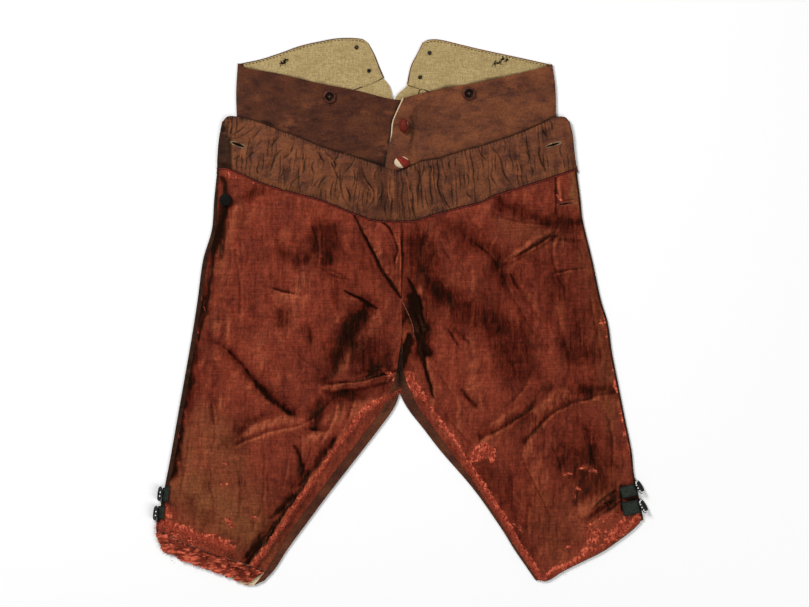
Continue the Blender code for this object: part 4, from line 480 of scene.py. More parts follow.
# Steps of the drop front over the waistband, the bearer and the lap at the centre
STEP_HALF, STEP_MIDDLE, STEP_RAMP = 228.0, -4.0, 17.0
BEARER_FOOT, BEARER_SLOPE, BEARER_RAMP = 66.0, 0.33, 60.0
BEARER_DEPTH, BEARER_NARROWING = 42.0, 0.97
LAP_HALF, LAP_MIDDLE, LAP_RAMP = 52.0, 8.0, 20.0
LAP_FOOT, LAP_FOOT_RAMP = 128.0, 28.0
LAP_START, LAP_LENGTH = 46.0, 18.0
SOFT_FLOOR = 0.6

# ------------------------------------------------------------------------ small maths

FOLD_PLACES, FOLD_REACH, FOLD_TAPER, LUMP_TABLE = 16, 2.4, 0.06, 64
WANDER_SIZES, WANDER_SHARE, WANDER_STRETCH = (14.0, 6.5, 3.2), 0.42, 1.3


def mix(a, b, t):
    """Straight blend from a to b."""
    return a + (b - a) * t


def ease(t):
    """Smooth step from 0 to 1."""
    t = np.clip(t, 0.0, 1.0)
    return t * t * (3.0 - 2.0 * t)


def chain(*tables):
    """Tables of points, one after the other."""
    return np.concatenate(tables)


def unit(way):
    """Directions at a length of 1."""
    return way / np.linalg.norm(way, axis=-1, keepdims=True)


def curve(table):
    """A smooth curve through a table of points, as a function of 0..1."""
    table = np.asarray(table, float)
    steps = np.hypot(*np.diff(table, axis=0).T)
    run = chain([0.0], np.cumsum(steps)) / steps.sum()
    last = len(table) - 1
    before = np.maximum(np.arange(last + 1) - 1, 0)
    after = np.minimum(np.arange(last + 1) + 1, last)
    slope = (table[after] - table[before]) / (run[after] - run[before])[:, None]

    def at(t):
        t = np.clip(t, 0.0, 1.0)
        k = np.clip(np.searchsorted(run, t, side="left") - 1, 0, last - 1)
        span = (run[k + 1] - run[k])[..., None]
        s = (t - run[k])[..., None] / span
        return ((2 * s ** 3 - 3 * s ** 2 + 1) * table[k] + (3 * s ** 2 - 2 * s ** 3) * table[k + 1]
                + (s ** 3 - 2 * s ** 2 + s) * span * slope[k]
                + (s ** 3 - s ** 2) * span * slope[k + 1])
    return at


def by_rows(table):
    """A broken line through a table, as a function of 0..1 with equal shares a point."""
    table = np.asarray(table, float)
    last = len(table) - 1

    def at(t):
        k = np.minimum((np.asarray(t) * last).astype(int), last - 1)
        return mix(table[k], table[k + 1], (t * last - k)[..., None])
    return at


def joined(first, second, share):
    """Two curves end to end, the first taking the given share of 0..1."""
    def at(t):
        t = np.asarray(t, float)
        early = first(np.minimum(t, share) / share)
        late = second((np.maximum(t, share) - share) / (1.0 - share))
        return np.where((t <= share)[..., None], early, late)
    return at


def patch(top, foot, outer, inner):
    """The plane surface between four edge curves, u from outer to inner, v downward."""
    ends = np.array([0.0, 1.0])
    (top_outer, foot_outer), (top_inner, foot_inner) = outer(ends), inner(ends)

    def at(u, v):
        a, b = u[..., None], v[..., None]
        return (top(u) * (1 - b) + foot(u) * b + outer(v) * (1 - a) + inner(v) * a
                - (top_outer * (1 - a) * (1 - b) + top_inner * a * (1 - b)
                   + foot_outer * (1 - a) * b + foot_inner * a * b))
    return at


def between(top, foot):
    """The plane surface between two tables, with straight ends."""
    return patch(curve(top), curve(foot), curve([top[0], foot[0]]), curve([top[-1], foot[-1]]))


def bent(fold):
    """Places along a fold, which bends softly through its middle."""
    t = np.linspace(0.0, 1.0, FOLD_PLACES + 1)
    middle = [2 * fold.x1 - (fold.x0 + fold.x2) / 2, 2 * fold.y1 - (fold.y0 + fold.y2) / 2]
    ends = np.array([[fold.x0, fold.y0], middle, [fold.x2, fold.y2]])
    return np.stack([(1 - t) ** 2, 2 * t * (1 - t), t * t], 1) @ ends


def nearest(x, y, track):
    """Distance from places to a broken line, and how far along it, from 0 to 1."""
    best, where = np.full(x.shape, 1e9), np.zeros(x.shape)
    for k, (a, b) in enumerate(zip(track, track[1:])):
        way = b - a
        s = np.clip(((x - a[0]) * way[0] + (y - a[1]) * way[1]) / max(way @ way, 1e-9), 0, 1)
        gap = np.hypot(x - a[0] - s * way[0], y - a[1] - s * way[1])
        closer = gap < best
        best[closer] = gap[closer]
        where[closer] = (k + s[closer]) / (len(track) - 1)
    return best, where


def around(x, y, track, width, shift=None):
    """The places close enough to a line to matter, their distance from it and share of it."""
    reach = FOLD_REACH * width
    near = ((x > track[:, 0].min() - reach) & (x < track[:, 0].max() + reach)
            & (y > track[:, 1].min() - reach) & (y < track[:, 1].max() + reach))
    x, y = x[near], y[near]
    if shift:
        x, y = x + shift[0][near], y + shift[1][near]
    return (near, *nearest(x, y, track))


def bell(gap, width):
    """1 on a line and 0 far from it."""
    return np.exp(-(gap / width) ** 2)


def taper(where, left):
    """1 in the middle of a line and little at its ends."""
    return np.sqrt(np.sin(np.pi * mix(left, 1.0 - left, where)))


def relief(x, y, table):
    """Sum of the folds of a table, each a soft ridge or trough that runs out at its ends."""
    total = np.zeros(x.shape)
    for fold in table:
        near, gap, where = around(x, y, bent(fold), fold.width)
        total[near] += fold.height * bell(gap, fold.width) * taper(where, FOLD_TAPER)
    return total


def wandered(x, y, seed):
    """Uneven shifts in x and y that break up the outline of a mark."""
    return [sum(size * WANDER_SHARE * lumps(x, y, size, size * WANDER_STRETCH, seed + 7 * axis + k)
                for k, size in enumerate(WANDER_SIZES)) for axis in (0, 1)]


def shade_and_wear_marks(x, y, table, spread=1.0, wander=None):
    """Strongest of the marks of a table at each place, each with tapered, uneven ends; the tables
    hold painted shade, wear and tint.
    """
    most = np.zeros(x.shape)
    for mark in table:
        width = mark.width * mix(1.0, spread, ease((mark.width - 3.0) / 5.0))
        shift = wander and [way * min(1.0, width / 11.0) for way in wander]
        near, gap, where = around(x, y, bent(mark), width + 4.0, shift)
        local = width * (0.45 + 0.55 * taper(where, 0.02))
        most[near] = np.maximum(most[near], mark.height * bell(gap, local))
    return most


def thin(x, y, tracks, width):
    """1 on any of some thin lines and 0 off them, fading out at their ends."""
    most = np.zeros(x.shape)
    for track in tracks:
        smooth = curve(track)(np.linspace(0, 1, 3 * len(track)))
        near, gap, where = around(x, y, smooth, width)
        most[near] = np.maximum(most[near], bell(gap, width) * taper(where, 0.04))
    return most


def thin_lines(phase, spacing, width):
    """1 along evenly numbered lines and 0 between them, with a soft side."""
    return bell(np.abs(phase - np.round(phase)) * spacing, width)


def lumps(x, y, size_x, size_y, seed):
    """A smooth uneven field from -1 to 1, with lumps of a size in millimetres."""
    table = np.random.default_rng(seed).uniform(-1.0, 1.0, (LUMP_TABLE, LUMP_TABLE))
    gx, gy = x / size_x + LUMP_TABLE, y / size_y + LUMP_TABLE
    ix, iy = np.floor(gx).astype(int), np.floor(gy).astype(int)
    fx, fy = ease(gx - ix), ease(gy - iy)
    ix, iy, jx, jy = (k % LUMP_TABLE for k in (ix, iy, ix + 1, iy + 1))
    return mix(mix(table[iy, ix], table[iy, jx], fx), mix(table[jy, ix], table[jy, jx], fx), fy)


# ---------------------------------------------------------------------- making meshes

CREASE_ANGLE = math.radians(50)


def to_frame(verts):
    """Points in millimetres as points of the frame, in metres."""
    return (np.asarray(verts, float) - [CENTRE_X, CENTRE_Y, 0.0]) * MM


def inside_out(verts, quads):
    """Whether faces enclose a negative volume."""
    a, b, c, d = (verts[quads[:, k]] for k in range(4))
    return (np.einsum("ij,ij->", a, np.cross(b, c)) + np.einsum("ij,ij->", a, np.cross(c, d))) <= 0


def thing_from(name, verts, faces, fields=None, smooth=True):
    """An object from points in millimetres, with named values for each point."""
    mesh = bpy.data.meshes.new(name)
    mesh.from_pydata(to_frame(verts).tolist(), [], [list(f) for f in faces])
    for field, values in (fields or {}).items():
        mesh.attributes.new(field, "FLOAT", "POINT").data.foreach_set(
            "value", np.asarray(values, np.float32))
    if smooth:
        mesh.shade_smooth()
        mesh.set_sharp_from_angle(angle=CREASE_ANGLE)
    made = bpy.data.objects.new(name, mesh)
    bpy.context.scene.collection.objects.link(made)
    return made


def corners(index):
    """The four corners of every square of a grid, in turn."""
    return index[:-1, :-1], index[:-1, 1:], index[1:, 1:], index[1:, :-1]


def shell(name, upper, lower, cells=None, fields=None):
    """A closed wall between two grids of points; cells says which squares are cloth."""
    rows, columns = upper.shape[:2]
    if cells is None:
        cells = np.ones((rows - 1, columns - 1), bool)
    low = rows * columns
    a, b, c, d = corners(np.arange(low).reshape(rows, columns))
    quads = [np.stack([q[cells] for q in (a, d, c, b)], 1),
             np.stack([q[cells] for q in (a, b, c, d)], 1) + low]
    edge = np.pad(cells, 1)
    for start, end, beyond in ((a, b, edge[:-2, 1:-1]), (b, c, edge[1:-1, 2:]),
                               (c, d, edge[2:, 1:-1]), (d, a, edge[1:-1, :-2])):
        s, e = start[cells & ~beyond], end[cells & ~beyond]
        quads.append(np.stack([s, e, e + low, s + low], 1))
    verts = chain(upper.reshape(-1, 3), lower.reshape(-1, 3))
    used, faces = np.unique(chain(*quads), return_inverse=True)
    faces = faces.reshape(-1, 4)
    if inside_out(verts[used], faces):
        faces = faces[:, ::-1]
    values = {field: np.tile(value.ravel(), 2)[used] for field, value in (fields or {}).items()}
    return thing_from(name, verts[used], faces.tolist(), values)


def wall(name, middle, tip, thick, cells, fields):
    """A closed wall on both sides of a grid of middle points, along their normals."""
    return shell(name, middle + tip * thick / 2, middle - tip * thick / 2, cells, fields)


def fine_shell(name, upper, thick, fields, step=3):
    """A closed wall with a fine upper side and a coarser lower one, step squares to one."""
    height = upper[..., 2]
    low_z = height.copy()
    for shift in range(-step, step + 1):
        for axis in (0, 1):
            low_z = np.minimum(low_z, np.roll(height, shift, axis))
    inner = (slice(step + 1, -step - 1),) * 2
    border = np.ones(height.shape, bool)
    border[inner] = False
    low_z = np.where(border, height, low_z)
    lower = standing(upper[..., :2], low_z - thick)[::step, ::step]
    index = np.arange(height.size).reshape(height.shape)
    low = height.size + np.arange(lower[..., 0].size).reshape(lower.shape[:2])
    a, b, c, d = corners(index)
    faces = chain(np.stack([a, d, c, b], -1).reshape(-1, 4),
                  np.stack(corners(low), -1).reshape(-1, 4))
    verts = chain(upper.reshape(-1, 3), lower.reshape(-1, 3))
    flipped = inside_out(verts, faces)
    edge, low_edge = (chain(k[0, :-1], k[:-1, -1], k[-1, :0:-1], k[:0:-1, 0]).tolist()
                      for k in (index, low))
    faces = faces.tolist()
    for k in range(len(low_edge)):
        run = [edge[(k * step + m) % len(edge)] for m in range(step + 1)]
        faces.append(run + [low_edge[(k + 1) % len(low_edge)], low_edge[k]])
    if flipped:
        faces = [face[::-1] for face in faces]
    values = {field: chain(value.ravel(), value[::step, ::step].ravel())
              for field, value in fields.items()}
    return thing_from(name, verts, faces, values)


def spread_grid(across, down):
    """Shares across and down for each point of a grid."""
    return np.meshgrid(np.linspace(0, 1, across + 1), np.linspace(0, 1, down + 1))


def standing(place, z):
    """Plane places with a height."""
    return np.concatenate([place, np.broadcast_to(z, place.shape[:-1])[..., None]], -1)


def height_reader(*grids):
    """The height of the upper points of some grids, near a place."""
    verts = chain(*(grid.reshape(-1, 3) for grid in grids))
    tree = KDTree(len(verts))
    for k, (x, y, _) in enumerate(verts.tolist()):
        tree.insert((x, y, 0.0), k)
    tree.balance()

    def at(x, y, radius=0.0):
        found = [verts[k][2] for _, k, _ in tree.find_range((x, y, 0.0), radius)] if radius else []
        return max(found) if found else verts[tree.find((x, y, 0.0))[1]][2]
    return at


def ring_faces(rings, sides, closed=False):
    """Faces of a tube of rings, with its ends capped or its last ring joined to its first."""
    faces = []
    for k in range(rings if closed else rings - 1):
        here, ahead = k * sides, (k + 1) % rings * sides
        for m in range(sides):
            n = (m + 1) % sides
            faces.append([here + m, here + n, ahead + n, ahead + m])
    if not closed:
        faces += [list(range(sides))[::-1], [(rings - 1) * sides + m for m in range(sides)]]
    return faces


def tube(track, radius, sides=6, flat=1.0, closed=False):
    """Points and faces of a tube along a track; radius may change, flat squashes it in z."""
    track = np.asarray(track, float)
    radius = np.broadcast_to(radius, len(track))
    if closed:
        way = np.roll(track, -1, 0) - np.roll(track, 1, 0)
    else:
        way = np.gradient(track, axis=0)
    way /= np.maximum(np.linalg.norm(way, axis=1, keepdims=True), 1e-9)
    up = np.tile([0.0, 0.0, 1.0], (len(track), 1))
    up[np.abs(way[:, 2]) > 0.9] = [1.0, 0.0, 0.0]
    side = unit(np.cross(way, up))
    up = np.cross(way, side)
    angle = 2 * np.pi * np.arange(sides) / sides
    ring = (np.cos(angle)[None, :, None] * side[:, None, :]
            + np.sin(angle)[None, :, None] * up[:, None, :] * flat)
    verts = track[:, None, :] + ring * radius[:, None, None]
    return verts.reshape(-1, 3), ring_faces(len(track), sides, closed)


def cut_holes(made, cutters):
    """Cut closed holes in a piece, then remove what cut them."""
    for cutter in cutters:
        hole = made.modifiers.new(cutter.name, "BOOLEAN")
        hole.operation, hole.solver, hole.object = "DIFFERENCE", "EXACT", cutter
    deps = bpy.context.evaluated_depsgraph_get()
    mesh = bpy.data.meshes.new_from_object(made.evaluated_get(deps))
    made.modifiers.clear()
    made.data = mesh
    mesh.set_sharp_from_angle(angle=CREASE_ANGLE)
    for cutter in cutters:
        bpy.data.objects.remove(cutter)


def settle(made, material, nodes=()):
    """Give a piece its material, its body and the nodes that it stands for."""
    made.data.materials.clear()
    made.data.materials.append(material)
    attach(made, "root")
    if nodes:
        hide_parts(*nodes)


def sewn(made, material, node):
    """Settle a piece of cloth with its material and the node that it stands for."""
    settle(made, material, [node])


def small(name, parts, material, nodes=(), fields=None):
    """One small thing from pairs of points and faces, settled on the garment."""
    verts, faces, count = [], [], 0
    for more_verts, more_faces in parts:
        verts.append(more_verts)
        faces += [[k + count for k in face] for face in more_faces]
        count += len(more_verts)
    settle(thing_from(name, chain(*verts), faces, fields), material, nodes)


# --------------------------------------------------------------------------- materials

# Silk colours; the shade and black ones are painted shade, the golden highlight one is painted
# highlight
SILK_LIT, SILK_SLUB = (0.217, 0.0352, 0.0177), (0.140, 0.021, 0.0120)
SILK_DEEP = (0.066, 0.0088, 0.0080)
SILK_OLIVE, SILK_BLACK = (0.190, 0.066, 0.025), (0.0022, 0.0008, 0.0008)
SILK_SHADE, SILK_PAINTED_HIGHLIGHT = (0.34, 0.22, 0.24), (0.36, 0.088, 0.038)
CORAL_GAP, CORAL_DEEP = (0.075, 0.010, 0.007), (0.27, 0.030, 0.016)
CORAL_LIT = (0.76, 0.168, 0.088)
COTTON_MID, COTTON_DEEP = (0.150, 0.048, 0.0225), (0.066, 0.0230, 0.0165)
COTTON_BLACK, COTTON_SHADE = (0.0050, 0.0030, 0.0025), (0.45, 0.43, 0.51)
COTTON_RUBBED_AND_HIGHLIGHT, COTTON_THREAD = (0.205, 0.066, 0.0265), (0.175, 0.072, 0.038)
WHITE = (1.0, 1.0, 1.0)


class Paint:
    """Builds the nodes of one procedural material, read in the frame's own metres."""

    def __init__(self, name, roughness, specular, tint=WHITE, sheen=0.0, sheen_tint=WHITE,
                 metallic=0.0):
        self.material = bpy.data.materials.new(name)
        self.material.use_nodes = True
        self.tree = self.material.node_tree
        self.shader = self.tree.nodes["Principled BSDF"]
        self.colour = self.normal = None
        self.fill(self.shader, {
            "Roughness": roughness, "Sheen Weight": sheen, "Metallic": metallic,
            "Specular IOR Level": specular, "Sheen Roughness": 0.4, "Sheen Tint": sheen_tint,
            "Specular Tint": tint})
        self.place = self.node("ShaderNodeTexCoord").outputs["Object"]

    def fill(self, node, sockets):
        """Link or set the sockets of a node."""
        for key, value in sockets.items():
            socket = node.inputs[key]
            if isinstance(value, bpy.types.NodeSocket):
                self.tree.links.new(value, socket)
            else:
                socket.default_value = (*value, 1.0) if socket.type == "RGBA" else value

    def node(self, kind, sockets=(), **settings):
        """A node with its settings, and its sockets linked or set."""
        made = self.tree.nodes.new(kind)
        for key, value in settings.items():
            setattr(made, key, value)
        self.fill(made, dict(sockets))
        return made

    def noise(self, across, along, detail=2.0, rough=0.5, bend=0.0):
        """Noise with features of these sizes in millimetres in x and y, from 0 to 1."""
        stretched = self.node("ShaderNodeMapping", {
            "Vector": self.place, "Scale": tuple(1000.0 / s for s in (across, along, across))})
        return self.node("ShaderNodeTexNoise", {
            "Vector": stretched.outputs[0], "Scale": 1.0, "Detail": detail,
            "Roughness": rough, "Distortion": bend}).outputs["Fac"]

    def field(self, name):
        """A named value of the piece's points."""
        return self.node("ShaderNodeAttribute", attribute_name=name).outputs["Fac"]

    def ramp(self, value, low, high, start=0.0, end=1.0):
        """Value between low and high, brought to start and end and held there."""
        return self.node("ShaderNodeMapRange", {
            "Value": value, "From Min": low, "From Max": high, "To Min": start,
            "To Max": end}).outputs["Result"]

    def times(self, a, b, kind="MULTIPLY"):
        """Two values multiplied, or joined in another way."""
        return self.node("ShaderNodeMath", {0: a, 1: b}, operation=kind).outputs[0]

    def plus(self, a, b):
        """Two values added."""
        return self.times(a, b, "ADD")

    def uneven(self, value, noise, reach):
        """Value, moved up and down by noise."""
        return self.plus(value, self.ramp(noise, 0.3, 0.7, -reach, reach))

    def blend(self, share, a, b, kind="MIX"):
        """A share of the way from colour a to colour b."""
        return self.node("ShaderNodeMix", {0: share, 6: a, 7: b}, data_type="RGBA",
                         blend_type=kind).outputs[2]

    def over(self, share, colour):
        """Lay a colour over what is there."""
        self.colour = self.blend(share, self.colour, colour)

    def shade(self, colour):
        """Darken or tint what is there by a colour."""
        self.colour = self.blend(1.0, self.colour, colour, "MULTIPLY")

    def speckle(self, value):
        """Make what is there lighter or darker by a value around 1."""
        self.shade(self.node("ShaderNodeCombineColor", {0: value, 1: value, 2: value}).outputs[0])

    def bump(self, height, distance, strength=1.0):
        """Add a relief to what is there, its distance in millimetres."""
        sockets = {"Height": height, "Distance": distance * MM, "Strength": strength}
        if self.normal:
            sockets["Normal"] = self.normal
        self.normal = self.node("ShaderNodeBump", sockets).outputs["Normal"]

    def finish(self, roughness=None):
        """Join colour, relief and roughness to the shader."""
        sockets = {"Base Color": self.colour, "Roughness": roughness, "Normal": self.normal}
        self.fill(self.shader, {key: value for key, value in sockets.items() if value is not None})
        return self.material


def silk_material(name, fibre_across, fibre_along):
    """Shot taffeta: fine slubs, golden and red mottling, a painted golden highlight on slopes that
    face the key lamp, painted shade that goes to black in folds, creases and the crotch, and
    frayed coral red with some painted highlight on an outer edge.
    """
    p = Paint(name, 0.42, 0.17, (1.0, 0.34, 0.15))
    slub = p.noise(1.1, 26.0, 3.0, 0.6)
    weft = p.noise(22.0, 1.1)
    fine = p.noise(2.6, 4.2, 5.0, 0.72)
    patchy = p.noise(11.0, 19.0, 5.0, 0.66, 0.9)
    cloudy = p.noise(44.0, 66.0, 3.0, bend=0.3)
    streak = p.noise(5.0, 34.0, 3.0, 0.55, 0.5)
    fleck = p.noise(6.5, 3.8, 3.5, 0.66)
    fibre = p.noise(fibre_across, fibre_along, 3.0, 0.60, 0.4)
    lit = p.ramp(p.plus(p.times(patchy, 0.65), p.times(cloudy, 0.45)), 0.42, 0.66)
    p.colour = p.blend(lit, SILK_DEEP, SILK_LIT)
    p.over(p.ramp(slub, 0.40, 0.60, 0.0, 0.55), SILK_SLUB)
    # Painted highlight: golden colour on slopes that face the key lamp
    p.over(p.times(p.ramp(p.field("gleam"), 0.02, 0.7, 0.12, 0.95),
                   p.ramp(streak, 0.36, 0.62, 0.35, 1.0)), SILK_PAINTED_HIGHLIGHT)
    p.over(p.times(p.field("olive"), p.ramp(patchy, 0.3, 0.55, 0.35, 1.0)), SILK_OLIVE)
    p.speckle(p.times(p.ramp(fine, 0.30, 0.70, 0.60, 1.44), p.ramp(weft, 0.35, 0.65, 1.18, 0.82)))
    # Painted shade from the dark field: a tinted darkening, then black where it is deepest
    dark = p.times(p.field("dark"), p.ramp(patchy, 0.32, 0.68, 1.20, 0.84))
    dark = p.times(dark, p.ramp(slub, 0.3, 0.7, 0.82, 1.12))
    dark = p.plus(dark, p.ramp(streak, 0.50, 0.34, 0.0, 0.26))
    p.shade(p.blend(p.ramp(dark, 0.0, 0.85), WHITE, SILK_SHADE))
    p.over(p.ramp(dark, 0.78, 1.25), SILK_BLACK)
    # Frayed coral red, and painted highlight along the left leg's outer edge
    worn = p.ramp(p.uneven(p.field("worn"), fleck, 0.42), 0.42, 0.64)
    coral = p.blend(p.ramp(fibre, 0.28, 0.50), CORAL_GAP, CORAL_DEEP)
    p.over(worn, p.blend(p.ramp(p.uneven(fibre, fleck, 0.10), 0.42, 0.70), coral, CORAL_LIT))
    for height, distance in ((slub, 0.12), (weft, 0.08), (fine, 0.22),
                             (p.times(worn, fibre), 0.7)):
        p.bump(height, distance)
    p.bump(patchy, 1.5, 0.6)
    return p.finish(p.plus(p.ramp(slub, 0.3, 0.7, 0.36, 0.50), p.times(worn, 0.3)))


def cotton_material():
    """Brown polished cotton, mottled purple-brown and rubbed orange-brown, with painted shade
    going to black and some painted highlight laid with the rubbed colour.
    """
    p = Paint("brown cotton", 0.5, 0.14, (1.0, 0.60, 0.38), 0.04, (1.0, 0.6, 0.4))
    thread, cross = p.noise(0.9, 3.2), p.noise(9.0, 0.9)
    mottle = p.noise(15.0, 8.0, 5.0, 0.62, 0.25)
    p.colour = p.blend(p.ramp(mottle, 0.32, 0.60), COTTON_DEEP, COTTON_MID)
    p.over(p.ramp(p.noise(34.0, 24.0, 4.0, 0.6), 0.44, 0.62, 0.0, 0.85), COTTON_RUBBED_AND_HIGHLIGHT)
    p.over(p.ramp(cross, 0.5, 0.75, 0.0, 0.35), COTTON_DEEP)
    p.over(p.ramp(thread, 0.5, 0.8, 0.0, 0.30), COTTON_THREAD)
    p.speckle(p.ramp(p.noise(2.2, 2.0, 4.0, 0.7), 0.3, 0.7, 0.62, 1.40))
    p.shade(p.blend(p.field("shade"), WHITE, COTTON_SHADE))
    # Painted shade: creases, seam edges, turned ends and shadow lines go toward black
    dark = p.times(p.field("dark"), p.ramp(mottle, 0.3, 0.7, 1.15, 0.85))
    p.over(p.ramp(dark, 0.03, 1.0, 0.0, 0.96), COTTON_BLACK)
    # Rubbed patches, and painted highlight beside the fall band's creases
    p.over(p.ramp(p.uneven(p.field("worn"), mottle, 0.25), 0.3, 0.7), COTTON_RUBBED_AND_HIGHLIGHT)
    p.bump(thread, 0.10)
    p.bump(cross, 0.10)
    p.bump(mottle, 0.4, 0.5)
    return p.finish(p.ramp(mottle, 0.3, 0.7, 0.42, 0.60))


def linen_material(name, pale, shade, knot, coarse):
    """Plain weave with uneven threads both ways."""
    p = Paint(name, 0.85, 0.15, sheen=0.06)
    both = p.times(p.noise(0.9 * coarse, 6.0 * coarse, 3.0, 0.6),
                   p.noise(6.0 * coarse, 0.9 * coarse, 3.0, 0.6))
    slack = p.noise(24.0, 20.0, 4.0, 0.6)
    speck = p.noise(1.6, 1.3, 4.0, 0.75)
    p.colour = p.blend(p.ramp(both, 0.17, 0.33), shade, pale)
    p.over(p.ramp(slack, 0.40, 0.72, 0.0, 0.50), shade)
    p.over(p.ramp(speck, 0.56, 0.70, 0.0, 0.85), knot)
    p.over(p.ramp(speck, 0.42, 0.32, 0.0, 0.5), pale)
    # Painted shade under the front waistband's edge, and the darker seam lines
    darkening = p.ramp(p.uneven(p.field("dark"), slack, 0.2), 0.3, 0.8)
    p.over(p.times(darkening, 0.93), (0.036, 0.019, 0.010))
    p.bump(both, 0.5)
    return p.finish()


def plain_material(name, low, high, size, roughness, specular=0.15, metallic=0.0):
    """A small thing's finish: two tones mixed unevenly, and a low relief."""
    p = Paint(name, roughness, specular, metallic=metallic)
    patchy = p.noise(size, size * 1.4, 4.0, 0.6)
    p.colour = p.blend(p.ramp(patchy, 0.35, 0.65), low, high)
    p.bump(patchy, 0.15)
    return p.finish(p.ramp(patchy, 0.3, 0.7, roughness * 0.85, min(1.0, roughness * 1.2)))


def ribbon_material():
    """Black grosgrain ribbon with grey-green faces and fine ribs."""
    p = Paint("black ribbon", 0.6, 0.15, sheen=0.04)
    rib = p.noise(5.0, 0.8)
    p.colour = p.blend(p.ramp(rib, 0.4, 0.62), (0.006, 0.008, 0.0055), (0.020, 0.027, 0.019))
    p.over(p.ramp(p.noise(1.4, 1.1, 3.0, 0.7), 0.50, 0.70, 0.0, 0.5), (0.050, 0.063, 0.045))
    # Painted shade from the dark field, on the edges and the lower layer
    p.over(p.field("dark"), (0.0050, 0.0050, 0.0045))
    p.bump(rib, 0.25)
    return p.finish()


def horn_material():
    """Dark horn with a red-brown rim, near black in its dish."""
    p = Paint("dark horn", 0.36, 0.14, (1.0, 0.6, 0.45))
    patchy = p.noise(2.6, 3.2, 4.0, 0.6)
    p.colour = p.blend(p.ramp(patchy, 0.35, 0.65), (0.028, 0.0100, 0.0075), (0.105, 0.034, 0.022))
    p.over(p.field("dark"), (0.0045, 0.0028, 0.0024))
    p.bump(patchy, 0.12)
    return p.finish()


def covered_material():
    """Red silk stretched over a button, rubbed through to the cream cloth under it, with painted
    shade from its dark field.
    """
    p = Paint("covered button silk", 0.5, 0.2, (1.0, 0.5, 0.35), 0.03)
    fine = p.noise(1.1, 1.4, 4.0, 0.7)
    p.colour = p.blend(p.ramp(fine, 0.38, 0.62), (0.105, 0.009, 0.006), (0.29, 0.030, 0.017))
    cream = p.blend(p.ramp(fine, 0.35, 0.6), (0.50, 0.34, 0.19), (0.80, 0.68, 0.48))
    p.over(p.ramp(p.uneven(p.field("bare"), fine, 0.22), 0.42, 0.58), cream)
    p.over(p.field("dark"), (0.012, 0.005, 0.004))
    p.bump(fine, 0.2)
    return p.finish()


SILK = silk_material("shot silk", 2.6, 6.0)
TORN = silk_material("torn silk", 9.0, 1.3)
COTTON = cotton_material()
LINEN = linen_material("natural linen", (0.485, 0.374, 0.174), (0.30, 0.205, 0.082),
                       (0.14, 0.085, 0.036), 1.0)
CREAM = linen_material("cream cotton", (0.78, 0.66, 0.46), (0.52, 0.38, 0.22),
                       (0.30, 0.2, 0.11), 0.6)
CORAL = plain_material("frayed coral silk", (0.17, 0.014, 0.008), (0.52, 0.095, 0.045), 1.2, 0.75)
PIPING = plain_material("red piping", (0.050, 0.0050, 0.0036), (0.170, 0.017, 0.010), 1.8, 0.6)
DARK_THREAD = plain_material("dark thread", (0.005, 0.004, 0.003), (0.022, 0.014, 0.010),
                             1.0, 0.8, 0.04)
PALE_THREAD = plain_material("pale thread", (0.050, 0.026, 0.014), (0.40, 0.30, 0.17), 9.0, 0.8)
PINK_THREAD = plain_material("rose thread", (0.085, 0.020, 0.012), (0.30, 0.10, 0.062), 2.2, 0.75)
BROWN_THREAD = plain_material("brown thread", (0.045, 0.022, 0.014), (0.15, 0.075, 0.042),
                              1.2, 0.75)
BUTTONHOLE_SHADOW = plain_material("dark gap", (0.003, 0.002, 0.002), (0.006, 0.004, 0.003), 2.0, 0.9, 0.02)
HORN = horn_material()
BLACK = plain_material("black cover", (0.003, 0.003, 0.003), (0.010, 0.009, 0.008), 1.2, 0.6, 0.04)
RIBBON = ribbon_material()
COVERED = covered_material()
SHADED_STEEL = plain_material("dark cut steel", (0.004, 0.004, 0.004), (0.030, 0.031, 0.028), 1.6, 0.45,
                       metallic=0.3)
LIT_BEAD = plain_material("bright cut steel", (0.60, 0.61, 0.56), (0.95, 0.95, 0.90), 0.9, 0.3, 0.5)

# ------------------------------------------------------- sizes and grids of the cloth

# Rows of a back above the hip, from there to the crotch, and below it
HIP_SHARE, CROTCH_SHARE = 0.14, 0.60
HIP_ROWS, SEAT_ROWS, SHANK_ROWS = 16, 72, 60
BACK_ACROSS, STRIP_STEPS, RETURN_STEPS = 44, 8, 3
LEG_ACROSS, LEG_DOWN = 198, 444
LEG_CROTCH = SEAT_ROWS / (SEAT_ROWS + SHANK_ROWS)
FALL_ACROSS, FALL_DOWN = 330, 62
WAIST_ACROSS, WAIST_DOWN = 96, 34
# Squares across and down of the plainer pieces
BEARER_GRID, WAIST_LINING_GRID, SEAT_GRID = (60, 14), (110, 36), (50, 24)
KNEE_BAND_GRID, KNEE_LINING_GRID = (140, 14), (90, 10)

# How the silk and the fall band rise from their edges, and the calm round a buttonhole
PUFF, PUFF_EDGE, PUFF_SEAM, PUFF_HEM = 4.2, 30.0, 0.09, 0.07
FOLD_EDGE, EDGE_LEFT = 8.0, 0.1
PUCKER_PUFF, PUCKER_DOWN, PUCKER_ACROSS, PUCKER_LEFT = 2.1, 0.2, 0.033, 0.3
CALM_NEAR, CALM_FAR = 6.0, 10.0
# Thin creases of the fall band: drawn lines, long creases and short gathers at the seams
LINE_WIDTH, LINE_DEPTH = 1.0, 1.3
CREASE_PITCH, CREASE_WIDTH = 6.1, 0.75
GATHER_PITCH, GATHER_WIDTH, GATHER_REACH, GATHER_DEPTH = 3.7, 0.8, 6.5, 0.8
DARK_SPREAD = 1.8
